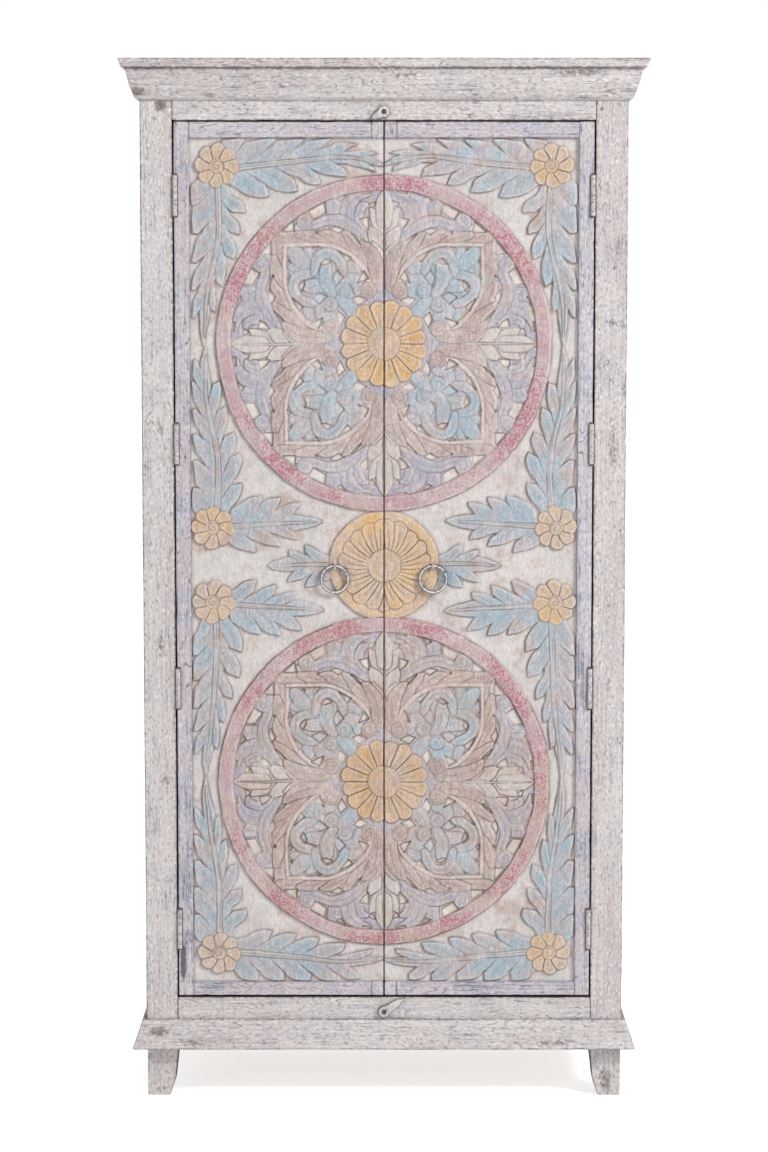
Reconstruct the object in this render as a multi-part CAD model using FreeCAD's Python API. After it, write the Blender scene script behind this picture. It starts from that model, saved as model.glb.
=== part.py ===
import FreeCAD, Part
import math
import os

# Two-door carved cabinet, whitewashed. Millimetres. +Z is up, the doors face -Y, +X is to the right.
# The origin is on the floor, at the middle of the overall box.

# Overall size
overall_width = 900.0
overall_depth = 400.0
overall_height = 1800.0

# Carcass boards
cornice_reach = 33.5
side_thickness = 20.0
board_thickness = 18.0
back_thickness = 12.0
back_board_count = 6
back_board_gap = 1.0
bottom_board_drop = 4.0

# Face frame
frame_thickness = 24.0
stile_width = 55.5
top_rail_face = 33.0
bottom_rail_face = 38.0

# Cornice and cap board
cap_thickness = 16.0
cap_edge_slant = 4.6
cornice_height = 54.0
cornice_top_reach = 23.0
cornice_waist_reach = 15.8
cornice_waist_height = 26.0
cornice_foot_reach = 8.0
cornice_foot_height = 4.6

# Base moulding
base_height = 51.0
base_top_reach = 5.5
base_bottom_reach = 22.0
base_lip = 5.0

# Feet
foot_height = 88.0
foot_width = 55.0
foot_side_inset = 1.5
foot_setback = 5.0
foot_back_inset = 1.5
foot_chamfer_height = 24.0
foot_taper = 7.0
foot_chamfer = 9.0
foot_arris = 2.0
foot_stub_margin = 5.0

# Shelves and their battens
shelf_count = 3
shelf_setback = 8.0
batten_size = 20.0

# Doors
door_side_gap = 2.0
door_top_gap = 2.0
door_bottom_gap = 3.0
door_seam_gap = 2.0
stop_clearance = 0.5
door_stile_face = 26.0
door_inner_stile_width = 21.0
door_top_rail_face = 27.0
door_bottom_rail_face = 24.0
door_lap_width = 18.0
door_lap_thickness = 8.0

# Carved panels: the relief stands on a flat ground, a little below the face of the border
relief_setback = 0.5
relief_height = 6.0
relief_root = 2.0

# Stops that the doors close on
stop_half_length = 300.0
stop_thickness = 12.0
stop_overlap = 10.0
upper_stop_seat = 20.0

# Hinges
hinge_count = 4
hinge_height = 70.0
lowest_hinge_rise = 118.0
highest_hinge_drop = 125.0
knuckle_radius = 4.5
knuckle_count = 5
knuckle_gap = 0.4
hinge_proud = 0.5
hinge_leaf_thickness = 1.5
hinge_leaf_depth = 20.0
hinge_mortise_depth = 1.0
hinge_barrel_inset = 4.3
hinge_barrel_clearance = 0.6
hinge_end_clearance = 1.2
hinge_pin_radius = 2.0
hinge_pin_clearance = 0.05
hinge_pin_head_radius = 3.2
hinge_pin_head_height = 1.0

# Hinge screws
hinge_screw_head_radius = 3.2
hinge_screw_shank_radius = 1.7
hinge_screw_length = 14.0
hinge_screw_point = 4.0
hinge_screw_spread = 24.0
screw_clearance = 0.05

# Ring pulls and their split-pin eyes
pull_offset = 85.0
pull_ring_radius = 23.0
pull_wire_radius = 3.0
pull_door_clearance = 0.5
eye_wire_radius = 1.5
eye_clearance = 0.4
eye_shank_radius = 2.0
eye_slot_clearance = 0.2
eye_clinch_length = 16.0
eye_clinch_height = 3.0
eye_clinch_thickness = 1.6

# Turn buttons, which keep the doors shut. They rest turned aside, clear of both doors.
button_thickness = 8.0
button_head_radius = 11.0
button_neck_half_width = 9.5
button_clearance = 0.4
upper_button_drop = 14.5
upper_button_length = 27.5
upper_button_tip_half_width = 4.5
upper_button_tip_length = 5.0
upper_button_angle = 240.0
lower_button_drop = 25.0
lower_button_length = 45.0
lower_button_tip_half_width = 6.5
lower_button_tip_length = 17.0
lower_button_angle = 56.0
button_screw_head_radius = 3.4
button_screw_head_height = 2.2
button_screw_shank_radius = 2.2
button_screw_grip = 16.0
button_recess_depth = 3.0
button_recess_clearance = 0.5
button_bore_clearance = 0.08

# Medallions: how far their centres lie below the top of the carved field and above its bottom
upper_medallion_drop = 350.5
lower_medallion_rise = 354.0
medallion_radius = 288.0
medallion_band = 25.0
medallion_rosette_radius = 73.0
medallion_rosette_lobes = 16

# Sun disc at half the height of the carved field
sun_radius = 95.0
sun_rim = 14.0
sun_button_radius = 29.0
sun_ground_height = 3.5

# Small rosettes: two in the corners of the field, two beside the sun
rosette_radius = 36.0
rosette_lobes = 8
corner_rosette_x = 286.0
mid_rosette_x = 296.0
top_rosette_drop = 47.0
bottom_rosette_rise = 51.0
upper_mid_rosette_rise = 65.0
lower_mid_rosette_drop = 64.5
scallop_share = 0.1

# Leaves
border_leaf_half_width = 36.0
side_leaf_half_width = 35.0
mid_leaf_half_width = 25.0
sun_leaf_half_width = 20.0
border_leaf_rise = 24.0
border_leaf_seam_gap = 9.0
side_leaf_end_x = 306.0
side_leaf_gap = 6.0
mid_leaf_tip_x = 106.0
mid_leaf_rise = 12.0
sun_leaf_tip_x = 205.0
leaf_lobes = 6
mid_leaf_lobes = 5
leaf_outline_shares = (0.6, 0.9, 1.0, 0.95, 0.85, 0.7, 0.45)
leaf_lobe_shares = ((0.0, 0.5), (0.35, 0.88), (0.7, 1.0), (1.06, 0.86))

# Palmettes and ogee bands inside a medallion, as shares of its radius
palmette_start_share = 0.42
palmette_end_share = 0.9
palmette_half_width = 40.0
palmette_lobes = 4
ogee_near_share = (0.095, 0.30)
ogee_waist_share = (0.115, 0.45)
ogee_shoulder_share = (0.165, 0.55)
ogee_arm_share = (0.30, 0.615)
ogee_tip_share = (0.635, 0.635)
ogee_throat_share = (0.165, 0.165)
ogee_middle_share = (0.36, 0.36)
ogee_hole_share = 0.74
ogee_heart_share = 0.46

# One overrun for every cut
overrun = 5.0

# Worked-out planes and lines
body_half = overall_width / 2 - cornice_reach
face_y = cornice_reach - overall_depth / 2
back_y = overall_depth / 2
frame_back_y = face_y + frame_thickness
back_board_y = back_y - back_thickness
inner_half = body_half - side_thickness
opening_half = body_half - stile_width
frame_bottom_z = foot_height
frame_top_z = overall_height - cap_thickness
cornice_bottom_z = frame_top_z - cornice_height
opening_top_z = cornice_bottom_z - top_rail_face
base_top_z = foot_height + base_height
opening_bottom_z = base_top_z + bottom_rail_face
bottom_board_top_z = opening_bottom_z - bottom_board_drop
bottom_board_z = bottom_board_top_z - board_thickness
top_board_z = frame_top_z - board_thickness
shelf_pitch = (top_board_z - bottom_board_top_z + board_thickness) / (shelf_count + 1)

door_edge = opening_half - door_side_gap
door_seam = door_seam_gap / 2
door_top_z = opening_top_z - door_top_gap
door_bottom_z = opening_bottom_z + door_bottom_gap
door_back_y = frame_back_y - stop_clearance
door_lap_y = door_back_y - door_lap_thickness
field_half = door_edge - door_stile_face
field_top_z = door_top_z - door_top_rail_face
field_bottom_z = door_bottom_z + door_bottom_rail_face
relief_y = face_y + relief_setback
ground_y = relief_y + relief_height

hinge_x = opening_half - hinge_barrel_inset
hinge_y = face_y - hinge_proud
hinge_leaf_y = hinge_y + knuckle_radius + knuckle_gap
hinge_leaf_end_y = face_y + hinge_leaf_depth
lowest_hinge_z = door_bottom_z + lowest_hinge_rise
hinge_pitch = (door_top_z - highest_hinge_drop - lowest_hinge_z) / (hinge_count - 1)
hinge_heights = [lowest_hinge_z + hinge_pitch * i for i in range(hinge_count)]
hinge_screw_y = (hinge_leaf_y + hinge_leaf_end_y) / 2

upper_medallion_z = field_top_z - upper_medallion_drop
lower_medallion_z = field_bottom_z + lower_medallion_rise
sun_z = (field_bottom_z + field_top_z) / 2
top_rosette_z = field_top_z - top_rosette_drop
upper_mid_rosette_z = sun_z + upper_mid_rosette_rise
lower_mid_rosette_z = sun_z - lower_mid_rosette_drop
bottom_rosette_z = field_bottom_z + bottom_rosette_rise

pull_eye_z = sun_z
pull_y = relief_y - pull_door_clearance - pull_wire_radius
eye_loop_radius = pull_wire_radius + eye_clearance + eye_wire_radius
upper_button_z = opening_top_z + upper_button_drop
lower_button_z = opening_bottom_z - lower_button_drop

PARTS = {}


def vector(x, y, z):
    return FreeCAD.Vector(x, y, z)


def box(x0, x1, y0, y1, z0, z1):
    return Part.makeBox(x1 - x0, y1 - y0, z1 - z0, vector(x0, y0, z0))


def rod(radius, start, end):
    """A round bar from one point to another."""
    along = end - start
    return Part.makeCylinder(radius, along.Length, start, along)


def mirrored(shape):
    """The same piece for the left side."""
    return shape.mirror(vector(0, 0, 0), vector(1, 0, 0))


def add(name, shape):
    PARTS[name] = shape


def add_pair(name, right_shape):
    add("right_" + name, right_shape)
    add("left_" + name, mirrored(right_shape))


def front_prism(edges, y_front, y_back):
    """A closed outline drawn on the front, carried straight back."""
    face = Part.Face(Part.Wire(edges))
    face.translate(vector(0, y_front, 0))
    return face.extrude(vector(0, y_back - y_front, 0))


def polygon_edges(points):
    corners = [vector(x, 0, z) for x, z in points]
    ends = corners[1:] + corners[:1]
    return [Part.LineSegment(a, b).toShape() for a, b in zip(corners, ends)]


def plan_prism(points, z0, z1):
    """A prism over a plan outline."""
    corners = [vector(x, y, z0) for x, y in points]
    return Part.Face(Part.makePolygon(corners + corners[:1])).extrude(vector(0, 0, z1 - z0))


# Carcass


def hinge_mortises():
    """The beds of the frame leaves in the edge of the right stile."""
    half = hinge_height / 2 + hinge_end_clearance
    return [box(opening_half - overrun, opening_half + hinge_mortise_depth,
                face_y - overrun, hinge_leaf_end_y, z - half, z + half) for z in hinge_heights]


def screw_solid(x_head, direction, y, z, clearance):
    """A countersunk screw along X: a cone head, a straight shank and a point."""
    head = hinge_screw_head_radius + clearance
    shank = hinge_screw_shank_radius + clearance
    head_length = hinge_leaf_thickness
    point_start = hinge_screw_length - hinge_screw_point
    outline = [(0, 0), (0, head), (head_length, shank), (point_start, shank), (hinge_screw_length, 0)]
    corners = [vector(x_head + direction * a, y + r, z) for a, r in outline]
    face = Part.Face(Part.makePolygon(corners + corners[:1]))
    solid = face.revolve(vector(x_head, y, z), vector(1, 0, 0), 360)
    return solid


def hinge_screw_heights():
    return [z + side * hinge_screw_spread for z in hinge_heights for side in (-1, 1)]


def frame_screws(clearance):
    head_x = opening_half + hinge_mortise_depth - hinge_leaf_thickness
    return [screw_solid(head_x, 1, hinge_screw_y, z, clearance) for z in hinge_screw_heights()]


def door_screws(clearance):
    head_x = door_edge - hinge_mortise_depth + hinge_leaf_thickness
    return [screw_solid(head_x, -1, hinge_screw_y, z, clearance) for z in hinge_screw_heights()]


def make_face_frame():
    stile = box(opening_half, body_half, face_y, frame_back_y, frame_bottom_z, frame_top_z)
    stile = stile.cut(hinge_mortises() + frame_screws(screw_clearance))
    add_pair("front_stile", stile)
    screw_hole = button_screw_shank_radius + screw_clearance
    top_rail = box(-opening_half, opening_half, face_y, frame_back_y, opening_top_z, frame_top_z)
    bottom_rail = box(-opening_half, opening_half, face_y, frame_back_y, frame_bottom_z, opening_bottom_z)
    depth = vector(0, button_screw_grip, 0)
    upper = vector(0, face_y, upper_button_z)
    lower = vector(0, face_y, lower_button_z)
    add("front_top_rail", top_rail.cut(rod(screw_hole, upper, upper + depth)))
    add("front_bottom_rail", bottom_rail.cut(rod(screw_hole, lower, lower + depth)))


def make_boards():
    add_pair("side_panel", box(inner_half, body_half, frame_back_y, back_y, frame_bottom_z, frame_top_z))
    add("bottom_board", box(-inner_half, inner_half, frame_back_y, back_board_y,
                            bottom_board_z, bottom_board_top_z))
    add("top_board", box(-inner_half, inner_half, frame_back_y, back_board_y, top_board_z, frame_top_z))
    pitch = (2 * inner_half + back_board_gap) / back_board_count
    boards = []
    for i in range(back_board_count):
        x0 = -inner_half + i * pitch
        boards.append(box(x0, x0 + pitch - back_board_gap, back_board_y, back_y, frame_bottom_z, frame_top_z))
    add("back_boards", Part.makeCompound(boards))


def make_shelves():
    battens = []
    names = ("lower_shelf", "middle_shelf", "upper_shelf")
    for i in range(shelf_count):
        top_z = bottom_board_top_z + (i + 1) * shelf_pitch
        z0 = top_z - board_thickness
        name = names[i] if i < len(names) else "shelf_%d" % (i + 1)
        y0 = frame_back_y + shelf_setback
        add(name, box(-inner_half, inner_half, y0, back_board_y, z0, top_z))
        batten = box(inner_half - batten_size, inner_half, y0, back_board_y, z0 - batten_size, z0)
        battens += [batten, mirrored(batten)]
    add("shelf_battens", Part.makeCompound(battens))


def make_stops():
    y1 = frame_back_y + stop_thickness
    add("upper_door_stop", box(-stop_half_length, stop_half_length, frame_back_y, y1,
                               door_top_z - stop_overlap, opening_top_z + upper_stop_seat))
    add("lower_door_stop", box(-stop_half_length, stop_half_length, frame_back_y, y1,
                               bottom_board_top_z, door_bottom_z + stop_overlap))


# Mouldings: one outline runs round the front and both sides, mitred at the corners


def moulding_outline_front(outline):
    """Outline points (reach, z) set against the face frame, as a prism across the whole front."""
    reach = max(r for r, z in outline) + overrun
    half = body_half + reach
    corners = [vector(-half, face_y - r, z) for r, z in outline]
    return Part.Face(Part.makePolygon(corners + corners[:1])).extrude(vector(2 * half, 0, 0))


def moulding_outline_side(outline):
    """The same outline against the right side panel."""
    reach = max(r for r, z in outline) + overrun
    corners = [vector(body_half + r, face_y - reach, z) for r, z in outline]
    length = back_y - face_y + reach
    return Part.Face(Part.makePolygon(corners + corners[:1])).extrude(vector(0, length, 0))


def add_moulding(name, outline, z0, z1):
    reach = max(r for r, z in outline) + overrun
    outer = body_half + reach
    front_plan = [(-body_half, face_y), (-outer, face_y - reach), (outer, face_y - reach), (body_half, face_y)]
    side_plan = [(body_half, face_y), (outer, face_y - reach), (outer, back_y), (body_half, back_y)]
    front = moulding_outline_front(outline).common(plan_prism(front_plan, z0, z1))
    side = moulding_outline_side(outline).common(plan_prism(side_plan, z0, z1))
    add(name + "_front", front)
    add("right_" + name, side)
    add("left_" + name, mirrored(side))


def make_mouldings():
    foot_z = cornice_bottom_z + cornice_foot_height
    waist_z = cornice_bottom_z + cornice_waist_height
    cornice = [(0, cornice_bottom_z), (cornice_foot_reach, foot_z), (cornice_waist_reach, waist_z),
               (cornice_top_reach, frame_top_z), (0, frame_top_z)]
    add_moulding("cornice", cornice, cornice_bottom_z - overrun, frame_top_z + overrun)
    base = [(0, foot_height), (base_bottom_reach, foot_height), (base_bottom_reach, foot_height + base_lip),
            (base_top_reach, base_top_z), (0, base_top_z)]
    add_moulding("base_moulding", base, foot_height - overrun, base_top_z + overrun)


def rectangle(half, y0, y1, z):
    corners = [vector(-half, y0, z), vector(half, y0, z), vector(half, y1, z), vector(-half, y1, z)]
    return Part.makePolygon(corners + corners[:1])


def make_cap():
    """The cap board: its front and side edges slant in towards the bottom."""
    half = overall_width / 2
    front = -overall_depth / 2
    bottom = rectangle(half - cap_edge_slant, front + cap_edge_slant, back_y, frame_top_z)
    top = rectangle(half, front, back_y, overall_height)
    add("cap_board", Part.makeLoft([bottom, top], True, True))


# Feet


def foot_outline():
    """The foot seen from the front: distance from its outer edge, and height."""
    knee = foot_width - foot_taper
    toe = knee - foot_chamfer
    return [(0, foot_height), (0, foot_arris), (foot_arris, 0), (toe, 0), (knee, foot_chamfer_height),
            (foot_width, foot_height)]


def make_feet():
    outer_x = body_half - foot_side_inset
    stub_inner = outer_x - foot_width + foot_stub_margin
    for name, edge_y, inward in (("front_foot", face_y + foot_setback, 1), ("rear_foot", back_y - foot_back_inset, -1)):
        front_points = [(outer_x - a, z) for a, z in foot_outline()]
        across = front_prism(polygon_edges(front_points), -overall_depth, overall_depth)
        side_corners = [vector(0, edge_y + inward * a, z) for a, z in foot_outline()]
        side_face = Part.Face(Part.makePolygon(side_corners + side_corners[:1]))
        foot = across.common(side_face.extrude(vector(overall_width, 0, 0)))
        far_y = edge_y + inward * (foot_width - foot_stub_margin)
        near_y = frame_back_y if inward > 0 else back_board_y
        y0, y1 = min(far_y, near_y), max(far_y, near_y)
        stub = box(stub_inner, inner_half, y0, y1, foot_height - foot_chamfer_height, bottom_board_z)
        add_pair(name, foot.fuse(stub).removeSplitter())


# Carved relief


def scalloped_edges(x, z, radius, lobes):
    """A flower outline: round lobes that meet in shallow valleys."""
    edges = []
    step = 2 * math.pi / lobes
    valley = radius * (1 - scallop_share)
    for i in range(lobes):
        a, m, b = i * step, (i + 0.5) * step, (i + 1) * step
        start = vector(x + valley * math.cos(a), 0, z + valley * math.sin(a))
        peak = vector(x + radius * math.cos(m), 0, z + radius * math.sin(m))
        end = vector(x + valley * math.cos(b), 0, z + valley * math.sin(b))
        edges.append(Part.Arc(start, peak, end).toShape())
    return edges


def leaf_width(share):
    """The leaf's half width at a share of its length, from the hand-chosen outline."""
    place = share * (len(leaf_outline_shares) - 1)
    i = min(int(place), len(leaf_outline_shares) - 2)
    t = place - i
    return leaf_outline_shares[i] * (1 - t) + leaf_outline_shares[i + 1] * t


def leaf_edges(base, tip, half_width, lobes):
    """A leaf from base to tip, (x, z) each: every lobe swells out to a point and cuts back to the rib."""
    length = math.hypot(tip[0] - base[0], tip[1] - base[1])
    ux, uz = (tip[0] - base[0]) / length, (tip[1] - base[1]) / length

    def one_side(side):
        points = []
        for i in range(lobes):
            width = side * half_width * leaf_width((i + 0.5) / lobes)
            for along_share, across_share in leaf_lobe_shares:
                along = (i + along_share) / lobes * length
                across = width * across_share
                points.append((base[0] + ux * along - uz * across, base[1] + uz * along + ux * across))
        return points

    return polygon_edges(one_side(1) + [tip] + one_side(-1)[::-1])


def ogee_edges(centre_z, side, scale):
    """The spade-shaped outline in one quarter of a medallion, scaled about its middle."""
    mid_x, mid_z = ogee_middle_share

    def place(point):
        x = mid_x + (point[0] - mid_x) * scale
        z = mid_z + (point[1] - mid_z) * scale
        return vector(x * medallion_radius, 0, centre_z + side * z * medallion_radius)

    def swap(point):
        return (point[1], point[0])

    near, waist, shoulder = ogee_near_share, ogee_waist_share, ogee_shoulder_share
    arm, tip = ogee_arm_share, ogee_tip_share
    return [Part.LineSegment(place(near), place(waist)).toShape(),
            Part.Arc(place(waist), place(shoulder), place(arm)).toShape(),
            Part.LineSegment(place(arm), place(tip)).toShape(),
            Part.LineSegment(place(tip), place(swap(arm))).toShape(),
            Part.Arc(place(swap(arm)), place(swap(shoulder)), place(swap(waist))).toShape(),
            Part.LineSegment(place(swap(waist)), place(swap(near))).toShape(),
            Part.Arc(place(swap(near)), place(ogee_throat_share), place(near)).toShape()]


def raised(edges):
    """Relief of full height over an outline, rooted in the ground."""
    return front_prism(edges, relief_y, ground_y + relief_root)


def disc(x, z, radius, front_y):
    start = vector(x, front_y, z)
    return rod(radius, start, vector(x, ground_y + relief_root, z))


def medallion_relief(centre_z):
    ring = disc(0, centre_z, medallion_radius, relief_y).cut(
        disc(0, centre_z, medallion_radius - medallion_band, relief_y))
    pieces = [ring, raised(scalloped_edges(0, centre_z, medallion_rosette_radius, medallion_rosette_lobes))]
    start = palmette_start_share * medallion_radius
    end = palmette_end_share * medallion_radius
    pieces.append(raised(leaf_edges((start, centre_z), (end, centre_z), palmette_half_width, palmette_lobes)))
    for side in (1, -1):
        pieces.append(raised(leaf_edges((0, centre_z + side * start), (0, centre_z + side * end),
                                        palmette_half_width, palmette_lobes)))
        band = raised(ogee_edges(centre_z, side, 1)).cut(raised(ogee_edges(centre_z, side, ogee_hole_share)))
        pieces += [band, raised(ogee_edges(centre_z, side, ogee_heart_share))]
    return pieces


def sun_relief():
    rim = disc(0, sun_z, sun_radius, relief_y).cut(disc(0, sun_z, sun_radius - sun_rim, relief_y))
    field = disc(0, sun_z, sun_radius - sun_rim, ground_y - sun_ground_height)
    return [rim, field, disc(0, sun_z, sun_button_radius, relief_y)]


def border_relief():
    """Rosettes and the leaves that run between them."""
    pieces = []
    rosettes = ((corner_rosette_x, top_rosette_z), (mid_rosette_x, upper_mid_rosette_z),
                (mid_rosette_x, lower_mid_rosette_z), (corner_rosette_x, bottom_rosette_z))
    for x, z in rosettes:
        pieces.append(raised(scalloped_edges(x, z, rosette_radius, rosette_lobes)))
    edge = rosette_radius * (1 - scallop_share)
    for z, rise in ((top_rosette_z, border_leaf_rise), (bottom_rosette_z, -border_leaf_rise)):
        pieces.append(raised(leaf_edges((corner_rosette_x - edge, z), (door_seam + border_leaf_seam_gap, z + rise),
                                        border_leaf_half_width, leaf_lobes)))
    for x, z, centre, up in ((corner_rosette_x, top_rosette_z, upper_medallion_z, 1),
                             (mid_rosette_x, upper_mid_rosette_z, upper_medallion_z, -1),
                             (mid_rosette_x, lower_mid_rosette_z, lower_medallion_z, 1),
                             (corner_rosette_x, bottom_rosette_z, lower_medallion_z, -1)):
        end = (side_leaf_end_x, centre + up * side_leaf_gap)
        pieces.append(raised(leaf_edges((x, z - up * edge), end, side_leaf_half_width, leaf_lobes)))
    for z, rise in ((upper_mid_rosette_z, mid_leaf_rise), (lower_mid_rosette_z, -mid_leaf_rise)):
        pieces.append(raised(leaf_edges((mid_rosette_x - edge, z), (mid_leaf_tip_x, z + rise),
                                        mid_leaf_half_width, mid_leaf_lobes)))
    pieces.append(raised(leaf_edges((sun_radius - sun_rim / 2, sun_z), (sun_leaf_tip_x, sun_z),
                                    sun_leaf_half_width, mid_leaf_lobes)))
    return pieces


def make_carved_panel():
    field = box(door_seam, field_half, relief_y, door_lap_y, field_bottom_z, field_top_z)
    slab = box(door_seam, field_half, ground_y, door_lap_y, field_bottom_z, field_top_z)
    relief = medallion_relief(upper_medallion_z) + medallion_relief(lower_medallion_z)
    relief += sun_relief() + border_relief()
    panel = slab.fuse([piece.common(field) for piece in relief])
    slot_half = eye_wire_radius + eye_slot_clearance
    slot_reach = eye_loop_radius + eye_wire_radius + eye_slot_clearance
    slot_end = pull_y + slot_reach
    panel = panel.cut([box(pull_offset - slot_half, pull_offset + slot_half, relief_y - overrun, slot_end,
                           pull_eye_z - slot_reach, pull_eye_z + slot_reach),
                       rod(eye_shank_radius + eye_slot_clearance, vector(pull_offset, relief_y, pull_eye_z),
                           vector(pull_offset, door_lap_y + overrun, pull_eye_z))])
    add_pair("carved_panel", panel)


# Doors


def make_door_frame():
    stile = box(field_half, door_edge, face_y, door_back_y, door_bottom_z, door_top_z)
    lap = box(field_half - door_lap_width, field_half, door_lap_y, door_back_y, field_bottom_z, field_top_z)
    cuts = []
    for z in hinge_heights:
        half = hinge_height / 2 + hinge_end_clearance
        cuts.append(box(door_edge - hinge_mortise_depth, door_edge + overrun, face_y - overrun,
                        hinge_leaf_end_y, z - half, z + half))
        notch_half = half + hinge_pin_head_height
        cuts.append(rod(knuckle_radius + hinge_barrel_clearance, vector(hinge_x, hinge_y, z - notch_half),
                        vector(hinge_x, hinge_y, z + notch_half)))
    stile = stile.fuse(lap).removeSplitter().cut(cuts + door_screws(screw_clearance))
    add_pair("door_outer_stile", stile)
    inner_edge = door_seam + door_inner_stile_width
    inner = box(door_seam, inner_edge, face_y, door_back_y, door_bottom_z, door_top_z)
    inner = inner.cut(box(door_seam - overrun, inner_edge + overrun, face_y - overrun, door_lap_y,
                          field_bottom_z, field_top_z))
    add_pair("door_inner_stile", inner)
    lap_end = field_half - door_lap_width
    for name, z0, z1, lap_z0, lap_z1 in (
            ("door_top_rail", field_top_z, door_top_z, field_top_z - door_lap_width, field_top_z),
            ("door_bottom_rail", door_bottom_z, field_bottom_z, field_bottom_z, field_bottom_z + door_lap_width)):
        rail = box(inner_edge, field_half, face_y, door_back_y, z0, z1)
        rail_lap = box(inner_edge, lap_end, door_lap_y, door_back_y, lap_z0, lap_z1)
        add_pair(name, rail.fuse(rail_lap).removeSplitter())


# Hinges


def knuckle_spans(z):
    """Knuckles from the bottom up, as (low, high), with a gap between neighbours."""
    pitch = (hinge_height + knuckle_gap) / knuckle_count
    low = z - hinge_height / 2
    return [(low + i * pitch, low + (i + 1) * pitch - knuckle_gap) for i in range(knuckle_count)]


def hinge_leaf(z, plate_x0, plate_x1, first):
    """A leaf plate with its knuckles: every second one, from the given first."""
    half = hinge_height / 2
    solid = box(plate_x0, plate_x1, hinge_leaf_y, hinge_leaf_end_y, z - half, z + half)
    pieces = []
    for low, high in knuckle_spans(z)[first::2]:
        pieces.append(rod(knuckle_radius, vector(hinge_x, hinge_y, low), vector(hinge_x, hinge_y, high)))
        pieces.append(box(plate_x0, plate_x1, hinge_y, hinge_leaf_y, low, high))
    solid = solid.fuse(pieces).removeSplitter()
    bore = hinge_pin_radius + hinge_pin_clearance
    return solid.cut(rod(bore, vector(hinge_x, hinge_y, z - half - overrun),
                         vector(hinge_x, hinge_y, z + half + overrun)))


def hinge_pin(z):
    half = hinge_height / 2
    low, high = z - half, z + half
    pin = rod(hinge_pin_radius, vector(hinge_x, hinge_y, low), vector(hinge_x, hinge_y, high))
    heads = [rod(hinge_pin_head_radius, vector(hinge_x, hinge_y, low - hinge_pin_head_height),
                 vector(hinge_x, hinge_y, low)),
             rod(hinge_pin_head_radius, vector(hinge_x, hinge_y, high),
                 vector(hinge_x, hinge_y, high + hinge_pin_head_height))]
    return pin.fuse(heads).removeSplitter()


def make_hinges():
    frame_x1 = opening_half + hinge_mortise_depth
    frame_x0 = frame_x1 - hinge_leaf_thickness
    door_x0 = door_edge - hinge_mortise_depth
    door_x1 = door_x0 + hinge_leaf_thickness
    frame_leaves = [hinge_leaf(z, frame_x0, frame_x1, 0) for z in hinge_heights]
    door_leaves = [hinge_leaf(z, door_x0, door_x1, 1) for z in hinge_heights]
    frame_holes = frame_screws(screw_clearance)
    door_holes = door_screws(screw_clearance)
    add_pair("hinge_frame_leaves", Part.makeCompound([leaf.cut(frame_holes) for leaf in frame_leaves]))
    add_pair("hinge_door_leaves", Part.makeCompound([leaf.cut(door_holes) for leaf in door_leaves]))
    add_pair("hinge_pins", Part.makeCompound([hinge_pin(z) for z in hinge_heights]))
    add_pair("hinge_frame_screws", Part.makeCompound(frame_screws(0)))
    add_pair("hinge_door_screws", Part.makeCompound(door_screws(0)))


# Ring pulls


def make_pulls():
    top = vector(pull_offset, pull_y, pull_eye_z)
    ring = Part.makeTorus(pull_ring_radius, pull_wire_radius,
                          vector(pull_offset, pull_y, pull_eye_z - pull_ring_radius), vector(0, 1, 0))
    add_pair("ring_pull", ring)
    loop = Part.makeTorus(eye_loop_radius, eye_wire_radius, top, vector(1, 0, 0))
    shank_start = vector(pull_offset, pull_y + eye_loop_radius, pull_eye_z)
    shank_end = vector(pull_offset, door_lap_y + eye_clinch_thickness, pull_eye_z)
    shank = rod(eye_shank_radius, shank_start, shank_end)
    clinch = box(pull_offset - eye_clinch_length / 2, pull_offset + eye_clinch_length / 2,
                 door_lap_y, door_lap_y + eye_clinch_thickness,
                 pull_eye_z - eye_clinch_height / 2, pull_eye_z + eye_clinch_height / 2)
    add_pair("ring_pull_eye", loop.fuse([shank, clinch]))


# Turn buttons


def turn_button(pivot_z, length, tip_half_width, tip_length, angle):
    """A wooden toggle: a round head on the pivot and a tongue that narrows to a blunt point."""
    front_y = face_y - button_clearance - button_thickness
    back = face_y - button_clearance
    tongue = [(-button_neck_half_width, 0), (-tip_half_width, length - tip_length), (0, length),
              (tip_half_width, length - tip_length), (button_neck_half_width, 0)]
    body = front_prism(polygon_edges(tongue), front_y, back)
    body = body.fuse(rod(button_head_radius, vector(0, front_y, 0), vector(0, back, 0))).removeSplitter()
    bore = button_screw_shank_radius + button_bore_clearance
    recess = button_screw_head_radius + button_recess_clearance
    body = body.cut([rod(bore, vector(0, front_y - overrun, 0), vector(0, back + overrun, 0)),
                     rod(recess, vector(0, front_y - overrun, 0), vector(0, front_y + button_recess_depth, 0))])
    body.rotate(vector(0, 0, 0), vector(0, 1, 0), angle)
    body.translate(vector(0, 0, pivot_z))
    return body


def button_screw(pivot_z):
    floor_y = face_y - button_clearance - button_thickness + button_recess_depth
    under_head = floor_y - button_clearance / 2
    head = rod(button_screw_head_radius, vector(0, under_head - button_screw_head_height, pivot_z),
               vector(0, under_head, pivot_z))
    shank = rod(button_screw_shank_radius, vector(0, under_head, pivot_z),
                vector(0, face_y + button_screw_grip, pivot_z))
    return head.fuse(shank)


def make_buttons():
    add("upper_turn_button", turn_button(upper_button_z, upper_button_length, upper_button_tip_half_width,
                                         upper_button_tip_length, upper_button_angle))
    add("lower_turn_button", turn_button(lower_button_z, lower_button_length, lower_button_tip_half_width,
                                         lower_button_tip_length, lower_button_angle))
    add("upper_button_screw", button_screw(upper_button_z))
    add("lower_button_screw", button_screw(lower_button_z))


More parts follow.
